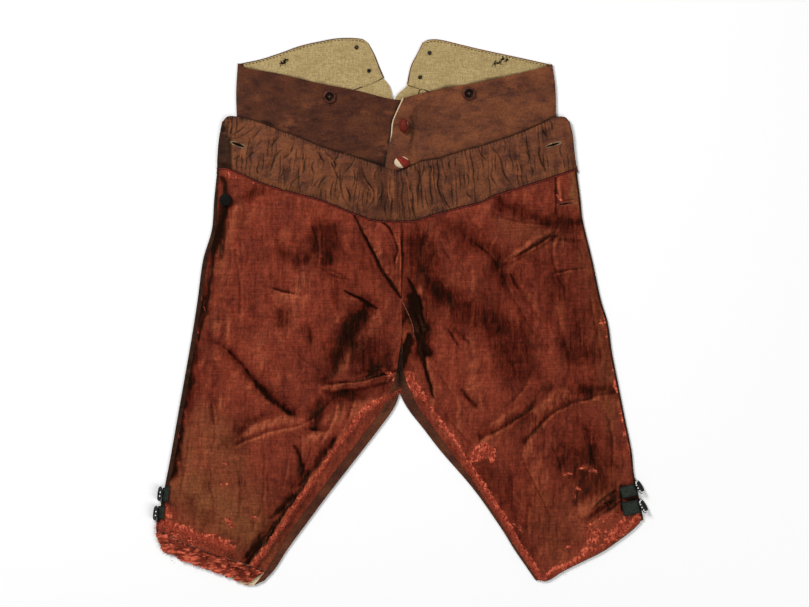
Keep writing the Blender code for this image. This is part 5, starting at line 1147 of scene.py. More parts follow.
# Painted light on the silk: slopes that tip toward the key lamp, this way, get a painted
# highlight, and slopes that tip away get painted shade
PAINTED_LIGHT_X, PAINTED_LIGHT_Y, PAINTED_LIGHT_FULL = -0.72, 0.69, 0.42
BUTTONHOLE_LENGTH, EYELET_RADIUS = 19.0, 1.6
SLIT_OUTLINE = points((-1.0, 0.0), (-0.8, -0.2), (-0.55, -0.36), (0.0, -0.5), (0.55, -0.36),
                      (0.8, -0.2), (1.0, 0.0), (0.8, 0.2), (0.55, 0.36), (0.0, 0.5),
                      (-0.55, 0.36), (-0.8, 0.2))


# ------------------------------------------------------------------- heights of layers

def under_fall(x, y):
    """Height that the drop front rests at: over the waistband, its lap and the bearer."""
    inside_side = ease((STEP_HALF - abs(x - STEP_MIDDLE)) / STEP_RAMP)
    inside_foot = ease((y - BEARER_FOOT - BEARER_SLOPE * abs(x)) / BEARER_RAMP)
    lap = ease((LAP_HALF - abs(x - LAP_MIDDLE)) / LAP_RAMP) * ease((y - LAP_FOOT) / LAP_FOOT_RAMP)
    return mix(FRONT_FLOOR, FALL_FLOOR, inside_side * inside_foot) + LAP_RISE * lap


def soft_floor(height):
    """Keeps a height above zero with a soft bend."""
    return (height + np.hypot(height, SOFT_FLOOR)) / 2.0


def from_border(u, v):
    """Shares from the nearer end and from the nearer of the top and the foot."""
    return np.minimum(u, 1.0 - u), np.minimum(v, 1.0 - v)


# --------------------------------------------------------------------------- the cloth

def arc(edge, out, radius, base, angles):
    """Middle points and normals of an edge folded up and back, with a radius."""
    places = [standing(edge + out * math.sin(t) * radius, base + radius * (1 - math.cos(t)))
              for t in angles]
    return places, [standing(-out * math.sin(t), math.cos(t)) for t in angles]


def turned_edge(edge, out, back, radius, steps):
    """Middle points and normals of an edge folded up and back over its own cloth."""
    angles = np.pi * np.arange(1, ARC_STEPS + 1) / ARC_STEPS
    places, tips = arc(edge, out, radius, CLOTH / 2, angles)
    for k in range(1, steps + 1):
        places.append(standing(edge - out * (back * k / steps)[:, None], CLOTH / 2 + 2 * radius))
        tips.append(np.tile([0.0, 0.0, -1.0], (len(edge), 1)))
    return np.stack(places, 1), np.stack(tips, 1)


def upright(grid, way=1.0):
    """Normals straight up, one for each point of a grid."""
    return np.tile([0.0, 0.0, way], (*grid.shape[:2], 1))


def back_surface(side):
    """Plane surface of a back, u from its outer edge to its inner one."""
    top = side.back_seam[::-1] - [0.0, 2 * SEAM_GAP]
    centre = chain(top[-1:], side.back_centre[1:] + side.gap)
    outer = joined(curve(chain(top[:1], side.hip[1:])), curve(side.outer), HIP_SHARE)
    inner = joined(curve(centre), curve(side.inner + side.gap), CROTCH_SHARE)
    return patch(by_rows(top), curve(side.back_hem), outer, inner)


def back_leg(side):
    """A back with its inner strip and outer edge turned over to the front."""
    surface = back_surface(side)
    reach = FOLD_RADIUS + CLOTH / 2
    v = chain(np.linspace(0, HIP_SHARE, HIP_ROWS + 1)[:-1],
              np.linspace(HIP_SHARE, CROTCH_SHARE, SEAT_ROWS + 1)[:-1],
              np.linspace(CROTCH_SHARE, 1.0, SHANK_ROWS + 1))
    u = np.linspace(0, 1, BACK_ACROSS + 1)
    span = np.linalg.norm(surface(np.ones_like(v), v) - surface(np.zeros_like(v), v), axis=1)
    first, crotch = ARC_STEPS + RETURN_STEPS, HIP_ROWS + SEAT_ROWS
    closed = (v >= HIP_SHARE) & (np.arange(len(v)) < crotch)
    inset = (reach / span)[:, None]
    base = surface(mix(inset, 1 - np.where(closed[:, None], 0.0, inset), u[None, :]),
                   np.repeat(v[:, None], len(u), 1))
    out, into = unit(base[:, 0] - base[:, 1]), unit(base[:, -1] - base[:, -2])
    strip = np.interp(np.maximum(0, (v - CROTCH_SHARE) / (1 - CROTCH_SHARE)), *side.strip.T)
    turn = np.interp(np.maximum(0, (v - HIP_SHARE) / (1 - HIP_SHARE)), *side.returns.T)
    outer, outer_tip = turned_edge(base[:, 0], out, turn - reach, FOLD_RADIUS, RETURN_STEPS)
    inner, inner_tip = turned_edge(base[:, -1], into, strip - reach, FOLD_RADIUS, STRIP_STEPS)
    middle = np.concatenate([outer[:, ::-1], standing(base, CLOTH / 2), inner], 1)
    tip = np.concatenate([outer_tip[:, ::-1], upright(base), inner_tip], 1)
    cells = np.ones((len(v) - 1, middle.shape[1] - 1), bool)
    cells[:HIP_ROWS, :first] = cells[:crotch, first + BACK_ACROSS:] = False
    x, y = middle[..., 0], middle[..., 1]
    # Painted shade: the crotch's deep fold, and the outer edge where it turns over
    dark = shade_and_wear_marks(x, y, CROTCH_DARK)
    dark[:, :first] = np.maximum(dark[:, :first], 0.85)
    shade = 0.35 + 0.25 * lumps(x, y, 40, 60, side.seed + 61)
    shade[:, first + BACK_ACROSS:] += 0.55
    made = wall("back_" + side.name, middle, tip, CLOTH, cells, {
        "dark": dark, "worn": shade_and_wear_marks(x, y, side.worn) * 0.25, "shade": np.clip(shade, 0, 1)})
    sewn(made, COTTON, "back_leg_" + side.name)
    inseam = (base[:, -1] - into * (strip - reach + SEAM_GAP)[:, None])[crotch:]
    sideseam = (base[:, 0] - out * (turn - reach + SEAM_GAP)[:, None])[HIP_ROWS:]
    return inseam, sideseam


def cut_at(track, y):
    """A line that runs down, ended where it comes to a height."""
    k = min((track[:, 1] > y).sum(), len(track) - 1)
    a, b = track[k - 1], track[k]
    return chain(track[:k], [mix(a, b, min(1.0, (a[1] - y) / (a[1] - b[1])))])


def laid(name, surface, floor, thick, across, down, fields=None, spread=None):
    """A wall that lies on floor(x, y, u, v), or at a height, as a grid over a surface."""
    u, v = spread_grid(across, down)
    if spread:
        u, v = spread(u, v)
    place = surface(u, v)
    x, y = place[..., 0], place[..., 1]
    z = floor(x, y, u, v) if callable(floor) else floor
    upper = standing(place, z + thick)
    values = fields(x, y, u, v) if fields else None
    return shell(name, upper, standing(place, z), None, values), upper


def silk_relief(side, x, y, wander):
    """Folds, creases and the uneven lie of the silk."""
    wx, wy = wander
    seed = side.seed
    rough = (0.80 * lumps(x + wx, y + wy, 40, 58, seed) + 0.55 * lumps(x + wx, y, 17, 28, seed + 1)
             + 0.24 * lumps(x, y, 7, 12, seed + 2) + 0.09 * lumps(x, y, 3.4, 6, seed + 3))
    frayed = relief(x, y, side.ridges) * (1.0 + 0.6 * lumps(x, y, 4.5, 4.5, seed + 4))
    return (relief(x + 0.35 * wx, y + 0.35 * wy, side.folds)
            + relief(x + 0.12 * wx, y + 0.12 * wy, side.creases) + rough + frayed)


def silk_fields(side, x, y, v, wander, height):
    """Painted shade of the silk (dark), its wear, its golden tint and its painted highlight."""
    wx, wy = wander
    # Painted shade in the bottoms of the creases
    creases = [bent(crease) for crease in side.creases if crease.height < 0]
    troughs = thin(x + 0.12 * wx, y + 0.12 * wy, creases, 1.5)
    # Painted shade in the hollows of the folds
    hollows = np.clip(-relief(x + 0.35 * wx, y + 0.35 * wy, side.folds) / 7.0, 0, 0.4)
    # Painted shade: the side's dark marks, soft and widened
    soft = (0.60 * shade_and_wear_marks(x, y, side.dark, DARK_SPREAD, wander)
            + 0.45 * shade_and_wear_marks(x, y, side.dark, 1.0, wander))
    worn, olive, shades = (shade_and_wear_marks(x, y, table, 1.0, wander)
                           for table in (side.worn, side.olive, side.shades))
    # Painted shade all together: the marks, the shadow along the fall seam at the top, the
    # creases, the fold hollows and the broad shades
    dark = np.maximum(soft, ease(1.0 - v / 0.008) * 0.9) + 0.40 * troughs + 0.5 * hollows + shades
    # Painted light: how far each slope faces the key lamp, painted highlight where it faces the
    # lamp and painted shade where it faces away
    slope = np.gradient(height, axis=1) / np.gradient(x, axis=1) * PAINTED_LIGHT_X
    slope += np.gradient(height, axis=0) / np.gradient(y, axis=0) * PAINTED_LIGHT_Y
    gleam = np.clip(-slope / PAINTED_LIGHT_FULL, -1.0, 1.0)
    dark = dark + 0.45 * np.clip(-gleam, 0, 1) ** 1.2
    return {"dark": np.clip(dark, 0, 1.7) * (1.0 - 0.8 * worn), "worn": worn, "olive": olive,
            "gleam": np.clip(gleam, 0, 1)}


def front_leg(side, inseam, sideseam):
    """A silk front, from the fall seam to the hem, between the back's turned edges."""
    inner_leg = cut_at(inseam, side.front_hem[-1][1])
    outer_leg = cut_at(sideseam, side.front_hem[0][1])
    centre = chain(FRONT_CENTRE + side.gap, inner_leg[:1])
    top = chain(outer_leg[:1], side.fall_seam[1:-1], centre[:1])
    foot = chain(outer_leg[-1:], side.front_hem[1:-1], inner_leg[-1:])
    inner = joined(by_rows(centre), by_rows(inner_leg), LEG_CROTCH)
    surface = patch(curve(top), curve(foot), by_rows(outer_leg), inner)
    u, v = spread_grid(LEG_ACROSS, LEG_DOWN)
    place = surface(u, v)
    x, y = place[..., 0], place[..., 1]
    span = np.linalg.norm(place[:, -1] - place[:, 0], axis=1)[:, None]
    from_side = np.minimum(u, 1.0 - u) * span
    wander = wandered(x, y, side.seed + 140)
    height = silk_relief(side, x, y, wander)
    soft = ease(v / PUFF_SEAM + EDGE_LEFT) * ease((1.0 - v) / PUFF_HEM)
    folded = height * ease(from_side / FOLD_EDGE + EDGE_LEFT) * ease((1.0 - v) / 0.02 + 0.15)
    puff = PUFF * soft * ease(from_side / PUFF_EDGE)
    grid = standing(place, under_fall(x, y) + soft_floor(puff + folded) + CLOTH)
    made = fine_shell("silk_front_" + side.name, grid, CLOTH,
                      silk_fields(side, x, y, v, wander, height))
    cut_slits(made, side.front_slits)
    sewn(made, SILK, "front_leg_" + side.name)
    return grid


def hole_outline(slit, grow=0.0):
    """Outline of an opened buttonhole with pointed ends, grown outward."""
    angle = math.radians(slit.turn)
    half, wide = BUTTONHOLE_LENGTH / 2 + grow, slit.width + 2 * grow
    along = np.array([math.cos(angle), math.sin(angle)])
    across = np.array([-math.sin(angle), math.cos(angle)])
    return (np.array([slit.x, slit.y]) + SLIT_OUTLINE[:, :1] * along * half
            + SLIT_OUTLINE[:, 1:] * across * wide)


def cut_slits(made, slits):
    """Cut buttonholes through a piece."""
    cutters = []
    for number, slit in enumerate(slits):
        flat = hole_outline(slit)
        verts = chain(standing(flat, CLOTH + SEAM_GAP / 2), standing(flat, 30.0))
        cutters.append(thing_from("%s_slit_%d" % (made.name, number), verts,
                                  ring_faces(2, len(flat)), smooth=False))
    if cutters:
        cut_holes(made, cutters)


def cut_eyelets(made, places):
    """Cut round lacing holes through a piece."""
    cut_holes(made, [
        thing_from("%s_eyelet_%d" % (made.name, number),
                   *tube([(x, y, -4.0), (x, y, 8.0)], EYELET_RADIUS, 14), smooth=False)
        for number, (x, y) in enumerate(places)])


def fall_band(side, front):
    """Half of the puckered band at the top of the drop front, with its buttonholes."""
    foot = chain(side.fall_end[-1:], front[0, 1:, :2] + [0.0, SEAM_GAP])
    centre = chain(FALL_CENTRE[:-1] + side.gap, foot[-1:])
    top = chain(side.fall_top[:-1], centre[:1])
    surface = patch(curve(top), by_rows(foot), curve(side.fall_end), curve(centre))
    depth = np.linalg.norm(foot[0] - top[0])
    seed = side.seed

    def crinkle(x, y):
        """Depths of the thin creases of the band, 0 between them and 1 at their bottoms."""
        wander = 1.4 * lumps(x, y, 11, 9, seed + 21)
        drawn = thin(x + 0.6 * wander, y, side.lines, LINE_WIDTH)
        leaned = x + 0.10 * y * side.sign + 1.1 * wander
        bend = 0.42 * lumps(x, y, 16, 46, seed + 23)
        long = thin_lines(leaned / CREASE_PITCH + bend, CREASE_PITCH, CREASE_WIDTH)
        long *= ease(1.9 * lumps(x, y, 8, 21, seed + 22) + 0.22)
        return np.maximum(0.85 * drawn, 0.70 * long)

    def gathers(x, y, v):
        """Short creases that run in from the seams at the top and the foot of the band."""
        reach = GATHER_REACH * (0.75 + 0.6 * lumps(x, v * 3, 5.0, 1.0, seed + 25))
        bend = 0.55 * lumps(x, v * 3, 8, 1.0, seed + 26)
        close = thin_lines(x / GATHER_PITCH + bend, GATHER_PITCH, GATHER_WIDTH)
        return close * ease(1.0 - np.minimum(v, 1.0 - v) * depth / reach)

    def floor(x, y, u, v):
        near_slit = np.min([np.hypot(x - slit.x, y - slit.y) for slit in side.band_slits], axis=0)
        calm = mix(PUCKER_LEFT, 1.0, ease((near_slit - CALM_NEAR) / CALM_FAR))
        from_end, from_seam = from_border(u, v)
        soft = 0.5 * lumps(x, y, 10, 34, seed + 27) + 0.25 * lumps(x, y, 5, 12, seed + 28)
        height = PUCKER_PUFF + relief(x, y, side.puckers) * 0.55 + soft
        height *= ease(from_seam / PUCKER_DOWN + PUCKER_LEFT)
        height *= ease(from_end / PUCKER_ACROSS + PUCKER_LEFT)
        height = height - LINE_DEPTH * crinkle(x, y) - GATHER_DEPTH * gathers(x, y, v)
        return under_fall(x, y) + soft_floor(height * calm)

    def fields(x, y, u, v):
        # Painted shade: the band's outer end where it turns down, lines along its top and foot
        # edges, the hollows of its puckers and its thin creases
        outer_end = ease((side.end_dark - u) / 0.016) * 0.90
        edge = ease(1.0 - np.minimum(v, 1.0 - v) / 0.020) * 0.85
        hollows = np.clip(-relief(x, y, side.puckers) / 4.0, 0, 0.3)
        thin_dark = np.maximum(crinkle(x, y), 0.85 * gathers(x, y, v))
        dark = np.maximum(np.maximum(outer_end, edge), thin_dark) + hollows
        # Rubbed streaks of the band, and a painted highlight on the flank beside each thin crease,
        # read 2 mm aside
        worn = (0.55 * crinkle(x + 2.0, y) + 0.40 * lumps(x, y, 4.5, 26, seed + 29)
                + 0.35 * lumps(x, y, 10, 34, seed + 27))
        # Painted shade across the middle of the fall where its folds are deepest, with random
        # streaks
        shade = 0.62 * ease((48.0 - abs(x + 22.0)) / 34.0) + 0.5 * lumps(x, y, 6.5, 30, seed + 30)
        return {"dark": np.minimum(dark, 1.0), "worn": np.clip(worn, 0, 1),
                "shade": np.clip(shade, 0, 1)}

    made, grid = laid("fall_" + side.name, surface, floor, CLOTH, FALL_ACROSS, FALL_DOWN, fields)
    cut_slits(made, side.band_slits)
    sewn(made, COTTON, "fall_band_" + side.name)
    return grid


def bearer(side):
    """The plain underlap that fills the opening behind the fall."""
    top = chain(side.bearer_top[:-1], side.bearer_top[-1:] + side.gap)
    foot = chain(top[:-1] * [BEARER_NARROWING, 1.0], top[-1:]) - [0.0, BEARER_DEPTH]
    made, grid = laid("bearer_" + side.name, between(top, foot), WAIST_FLOOR, CLOTH,
                      *BEARER_GRID)
    sewn(made, LINEN, "fall_bearer_" + side.name)


def above(table, x, y):
    """How far places are above an edge table."""
    order = np.argsort(table[:, 0])
    return y - np.interp(x, table[order, 0], table[order, 1])


def waistband(side):
    """Half of the waistband: its back half, the fold at the side and its front half."""
    back_end, fold, seed = curve(side.back_end), curve(side.fold), side.seed
    back = patch(curve(side.back_top), by_rows(side.back_seam), back_end, fold)
    front = patch(curve(side.front_top), curve(side.front_foot), fold, curve(side.front_end))
    reach = WAIST_FOLD_RADIUS + CLOTH / 2
    u, v_grid = spread_grid(WAIST_ACROSS, WAIST_DOWN)
    v = v_grid[:, 0]
    stop = (1 - reach / np.linalg.norm(fold(v) - back_end(v), axis=1))[:, None]
    behind = back(stop * u, v_grid)
    before = front(1 - stop + stop * u[:, 1:], v_grid[:, 1:])
    out = np.tile([side.sign, 0.0], (len(v), 1))
    turn, turn_tip = turned_edge(behind[:, -1], out, np.zeros(len(v)), WAIST_FOLD_RADIUS, 0)
    x, y = before[..., 0], before[..., 1]
    clear = ease((above(side.fall_top, x, y) - 3.0) / 8.0)
    clear *= ease((side.front_top[:, 1].max() - y) / 6)
    rise = clear * (0.35 + 0.35 * lumps(x, y, 26, 18, seed + 31)
                    + 0.18 * lumps(x, y, 10, 30, seed + 32))
    lap = ease((LAP_START - x) / LAP_LENGTH) if side is LEFT else 0.0
    z = WAIST_FLOOR + CLOTH / 2 + LAP_RISE * lap + np.maximum(rise, 0.0)
    middle = np.concatenate([standing(behind, CLOTH / 2), turn, standing(before, z)], 1)
    tip = np.concatenate([upright(behind), turn_tip, upright(before, -1.0)], 1)
    x, y = middle[..., 0], middle[..., 1]
    # Painted shadow: along the fall band's top edge, round the upper button and along a seam, and
    # on the right half beside the lap's edge
    dark = np.maximum(ease(1 - above(side.fall_top, x, y) / 3.4) * 0.95,
                      shade_and_wear_marks(x, y, side.waist_dark))
    if side is RIGHT:
        gap, _ = nearest(x, y, curve(LEFT.front_end)(np.linspace(0, 1, 30)))
        dark = np.maximum(dark, ease(1.3 - gap / 2.6) * 0.9)
    worn = 0.50 * lumps(x, y, 24, 11, seed + 33) - 0.05
    shade = side.waist_shade + 0.34 * lumps(x, y, 30, 13, seed + 34)
    made = wall("waist_" + side.name, middle, tip, CLOTH, None, {
        "dark": dark, "worn": np.clip(worn, 0, 1), "shade": np.clip(shade, 0, 1)})
    cut_eyelets(made, side.eyelets)
    sewn(made, COTTON, "waistband_" + side.name)
    return standing(before, z + CLOTH / 2)


def waistband_lining(side):
    """Linen on the waistband's back half, a little inside its edges."""
    surface = patch(curve(side.back_top), by_rows(side.back_seam), curve(side.back_end),
                    curve(side.fold))

    def floor(x, y, u, v):
        bare = ease((above(side.front_top, x, y) - 2.0) / 10.0) * ease(np.minimum(u, 1 - u) / 0.03)
        rise = (0.35 + 0.3 * lumps(x, y, 30, 16, side.seed + 41)
                + 0.2 * lumps(x, y, 11, 9, side.seed + 42))
        return LINING_FLOOR + np.maximum(rise * bare, 0.0)

    def fields(x, y, u, v):
        # Painted shadow on the linen under the front waistband's top edge
        under = ease(1 - above(side.front_top, x, y) / 7.0) * 0.55
        return {"dark": np.maximum(under, ease(1 - v / 0.03) * 0.35)}

    made, grid = laid("waist_lining_" + side.name, surface, floor, LINING, *WAIST_LINING_GRID,
                      fields, lambda u, v: (mix(0.008, 0.955, u), mix(0.02, 1.0, v)))
    cut_eyelets(made, side.eyelets)
    sewn(made, LINEN, "waistband_lining_" + side.name)
    return grid


def seat_lining(side):
    """Linen below the waistband seam, where the open back shows it."""
    tables = (side.seat_top, side.seat_foot, side.seat_centre, side.seat_side)
    surface = patch(*(curve(table + side.gap * 2 - [0.0, 2 * SEAM_GAP]) for table in tables))
    made, grid = laid("seat_linen_" + side.name, surface, LINING_FLOOR, LINING, *SEAT_GRID)
    sewn(made, LINEN, "seat_lining_" + side.name)


def knee_band(front):
    """The torn band below the right front, lifted clear of the lining under it."""
    def ragged(u, v):
        torn = (0.16 * lumps(u * 150, u * 0, 2.0, 1.0, 71)
                + 0.12 * lumps(u * 150, u * 0, 6.0, 1.0, 72))
        return u, v * (1.0 + torn * v)

    def floor(x, y, u, v):
        rise = (0.6 * ease(v / 0.3) * (1.0 + lumps(x, y, 9, 6, 73))
                * ease(np.minimum(u, 1 - u) / 0.05))
        return FRONT_FLOOR + CLOTH + SEAM_GAP + rise

    def fields(x, y, u, v):
        # Painted shade along the top edge under the front's hem, and in a hollow across the band's
        # middle
        hollow = ease(1 - abs(v - 0.42) / 0.26) * (0.55 + 0.5 * lumps(x, y, 9, 5, 75))
        return {"worn": 0.30 + 0.46 * v + 0.35 * lumps(x, y, 7.0, 4.0, 74),
                "dark": np.clip(np.maximum(ease(1 - v / 0.16) * 0.95, hollow), 0, 1)}

    surface = between(front[-1, :, :2] - [0.0, 2 * SEAM_GAP], BAND_EDGE)
    made, grid = laid("knee_band_torn", surface, floor, CLOTH, *KNEE_BAND_GRID, fields, ragged)
    sewn(made, TORN, "knee_band_right")


def leg_lining(front, inseam, sideseam):
    """Lining that peeps out below the knee band, between the back's turned edges."""
    hem = front[-1, :, :2]
    foot = chain(sideseam[-1:], PEEP_EDGE, inseam[-1:])
    ends = [mix(hem[k], foot[k], SEAM_GAP / np.linalg.norm(foot[k] - hem[k])) for k in (0, -1)]
    seam = chain(ends[:1], hem[1:-1] - [0.0, 2 * SEAM_GAP], ends[1:])
    made, grid = laid("knee_lining", between(seam, foot), LINING_FLOOR, LINING,
                      *KNEE_LINING_GRID)
    sewn(made, CREAM, "leg_lining_right")


# ------------------------------------------------------------- sewing and small things

def run_of(track):
    """Length of a broken line."""
    return np.linalg.norm(np.diff(track, axis=0), axis=1).sum()


def even(track, step):
    """A smooth line through a table, read again at even steps."""
    smooth = curve(track)(np.linspace(0, 1, 40 * len(track)))
    run = chain([0.0], np.cumsum(np.linalg.norm(np.diff(smooth, axis=0), axis=1)))
    at = np.linspace(0, run[-1], max(2, int(run[-1] / step) + 1))
    return np.stack([np.interp(at, run, smooth[:, k]) for k in (0, 1)], 1)


def ways_of(track):
    """Directions along a line."""
    return unit(np.gradient(track, axis=0))


def leftward(way):
    """Directions turned a quarter to the left."""
    return np.stack([-way[..., 1], way[..., 0]], -1)


def beside(track, shift):
    """A line moved to its own left by a distance."""
    return track + leftward(ways_of(track)) * shift


def on_cloth(track, reader, lift, radius=0.0):
    """A plane line laid on the cloth below it."""
    return np.array([(x, y, reader(x, y, radius) + lift) for x, y in track])


def stitches(track, reader, pitch, length, thick, seed, turn=0.0, lift=0.0):
    """Short arched stitches along a line, a little uneven."""
    random = np.random.default_rng(seed)
    places = even(track, pitch)
    parts = []
    for place, way in zip(places, ways_of(places)):
        angle = math.radians(turn + random.uniform(-14, 14))
        half = (way * math.cos(angle) + leftward(way) * math.sin(angle)) * length / 2
        half *= random.uniform(0.75, 1.15)
        middle = place + random.uniform(-0.2, 0.2, 2)
        flat = [middle - half, middle - half * 0.5, middle + half * 0.5, middle + half]
        rise = np.array([-0.2, 0.75, 0.75, -0.2]) * thick + lift
        parts.append(tube([(x, y, reader(x, y) + r) for (x, y), r in zip(flat, rise)],
                          np.array([0.6, 1.0, 1.0, 0.6]) * thick, 5))
    return parts


def fibres(track, reader, count, spread, length, thick, seed, rise=0.9, across=0.6):
    """Loose, curled fibres along a line, rooted in the cloth."""
    random = np.random.default_rng(seed)
    smooth = even(track, 1.0)
    ways = ways_of(smooth)
    parts = []
    for _ in range(count):
        k = random.integers(len(smooth))
        way, side = ways[k], leftward(ways[k])
        place = smooth[k] + side * random.normal(0, spread) + way * random.uniform(-0.5, 0.5)
        angle = random.normal(0, across)
        heading = (way * math.cos(angle) + side * math.sin(angle)) * random.choice([-1.0, 1.0])
        reach, bend = length * random.uniform(0.4, 1.3), random.uniform(-0.5, 0.5)
        places = []
        for share in (0.0, 0.35, 0.7, 1.0):
            x, y = place + (heading + leftward(heading) * bend * share) * reach * share
            up = rise * random.uniform(0.2, 1.0) * math.sin(math.pi * min(share, 0.75))
            places.append((x, y, reader(x, y) + up - 0.1))
        thickness = np.array([0.9, 1.0, 0.75, 0.35]) * thick * random.uniform(0.7, 1.2)
        parts.append(tube(places, thickness, 4))
    return parts


def turned(profile, place, sides, half_x=1.0, half_y=1.0, tilt=0.0):
    """Points and faces of a solid turned about +Z, its +X side raised by a tilt."""
    slope = math.sin(math.radians(tilt))
    angle = 2 * np.pi * np.arange(sides) / sides
    verts = []
    for radius, height in profile:
        x, y = radius * np.cos(angle) * half_x, radius * np.sin(angle) * half_y
        z = place[2] + height + (x + half_x) * slope
        verts.append(np.stack([place[0] + x, place[1] + y, z], 1))
    return chain(*verts), ring_faces(len(profile), sides)


def rounded(profile, steps):
    """A profile of radius and height read again as a smooth curve."""
    return [tuple(p) for p in curve(profile)(np.linspace(0, 1, steps))]


def buttonhole(name, slit, reader, material, seed):
    """Close stitches round a buttonhole, with a dark plate under it as the painted shadow in the
    opening.
    """
    random = np.random.default_rng(seed)
    outline = hole_outline(slit, 0.7)
    track = even(chain(outline, outline[:1]), 0.62)
    middle = np.array([slit.x, slit.y])
    parts = []
    for place, way in zip(track[:-1], ways_of(track)[:-1]):
        out = leftward(way)
        out *= np.sign(out @ (place - middle)) or 1.0
        ends = [place + out * far for far in (-0.35, 0.0, 0.5, random.uniform(0.8, 1.3))]
        rise = np.array([-0.5, 0.25, 0.25, -0.15]) + random.uniform(-0.08, 0.08)
        base = reader(*(place + out * 0.8))
        parts.append(tube([(x, y, base + r) for (x, y), r in zip(ends, rise)],
                          np.array([0.24, 0.30, 0.30, 0.18]), 5))
    small(name, parts, material)
    outline = hole_outline(slit, 0.25)
    base = min(reader(*place) for place in outline) - 1.9
    verts = chain(standing(outline, base), standing(outline, base + 0.4))
    small(name + "_gap", [(verts, ring_faces(2, len(outline)))], BUTTONHOLE_SHADOW)


def eyelet(name, place, reader, seed):
    """A worked lacing eyelet: a ring of dark thread and threads that run out from it."""
    random = np.random.default_rng(seed)
    angle = 2 * np.pi * np.arange(18) / 18
    ring = place + np.stack([np.cos(angle), np.sin(angle)], 1) * 1.75
    base = max(reader(*p) for p in ring)
    parts = [tube(standing(ring, base + 0.15), 0.55, 6, closed=True)]
    for turn in np.linspace(0, 2 * np.pi, 15)[:-1] + random.uniform(-0.15, 0.15, 14):
        way = np.array([math.cos(turn), math.sin(turn)])
        ends = [place + way * r for r in (1.3, 2.1, random.uniform(2.6, 4.2))]
        rise = (0.35, 0.45, -0.05)
        parts.append(tube([(x, y, reader(x, y) + z) for (x, y), z in zip(ends, rise)],
                          np.array([0.26, 0.26, 0.14]), 5))
    small(name, parts, DARK_THREAD)


# --------------------------------------------------------------------- knee buckles

# Corners of the ribbon, then the buckle's place, its turn and its lean
STRAPS = {
    "left_upper": (points((277, -222), (296, -217), (282, -236), (302, -231)),
                   (303.0, -221.5), -60.0, 52.0),
    "left_lower": (points((280, -241), (301, -237), (284, -259), (305, -254)),
                   (307.9, -246.0), -60.0, 52.0),
    "right_upper": (points((-293, -219), (-302, -223), (-295, -241), (-303, -240)),
                    (-305.5, -230.0), 82.0, 68.0),
    "right_lower": (points((-299, -245), (-308, -246), (-301, -263), (-309, -262)),
                    (-311.0, -254.5), 82.0, 68.0),
}
STRAP_CLOTH, STRAP_LAYER, STRAP_CLEARANCE = 2.0, 0.7, 9.0
STRAP_ACROSS, STRAP_DOWN = 26, 22
RING_HALF_LENGTH, RING_HALF_WIDTH = 8.0, 4.6
RING_THIN, RING_THICK, RING_SQUARENESS = 1.0, 1.8, 0.75
RING_STEPS, RING_SIDES, BEADS, BEAD_RADIUS = 84, 12, 15, 1.08


def knee_strap(name, corner, reader):
    """A ribbon folded back on itself where it passes through the buckle."""
    surface = between(corner[:2], corner[2:])
    u, v = spread_grid(STRAP_ACROSS, STRAP_DOWN)
    place = surface(u, v)
    base = reader(*place.reshape(-1, 2).mean(0), STRAP_CLEARANCE) + SEAM_GAP
    radius = (STRAP_CLOTH - STRAP_LAYER) / 2
    reach = radius + STRAP_LAYER / 2
    width = np.linalg.norm(place[:, -1] - place[:, 0], axis=1)[:, None]
    inner = surface(u * (1 - reach / width), v)
    out = unit(inner[:, -1] - inner[:, -2])
    low_z = base + STRAP_LAYER / 2
    turn, turn_tip = arc(inner[:, -1], out, radius, low_z, np.pi * np.arange(1, 8) / 8)
    top_z = low_z + 2 * radius + 0.25 * lumps(place[..., 0], place[..., 1], 6, 5, 91)
    upper = standing(inner, np.maximum(top_z, base + STRAP_LAYER * 1.5 + 0.1))[:, ::-1]
    middle = np.concatenate([standing(inner, low_z), np.stack(turn, 1), upper], 1)
    tip = np.concatenate([upright(u), np.stack(turn_tip, 1), upright(u, -1.0)], 1)
    from_end, from_edge = from_border(u, v)
    # Painted shade: the ribbon's edges, its ends and its whole lower layer go dark, and only the
    # middle of its upper face keeps its grey-green
    face = ease((from_edge - 0.05) / 0.08) * ease((from_end - 0.03) / 0.06)
    border = np.ones(middle.shape[:2])
    border[:, -u.shape[1]:] = 1.0 - face[:, ::-1]
    made = wall("strap_" + name, middle, tip, STRAP_LAYER, None, {"dark": border})
    sewn(made, RIBBON, "knee_strap_" + name)


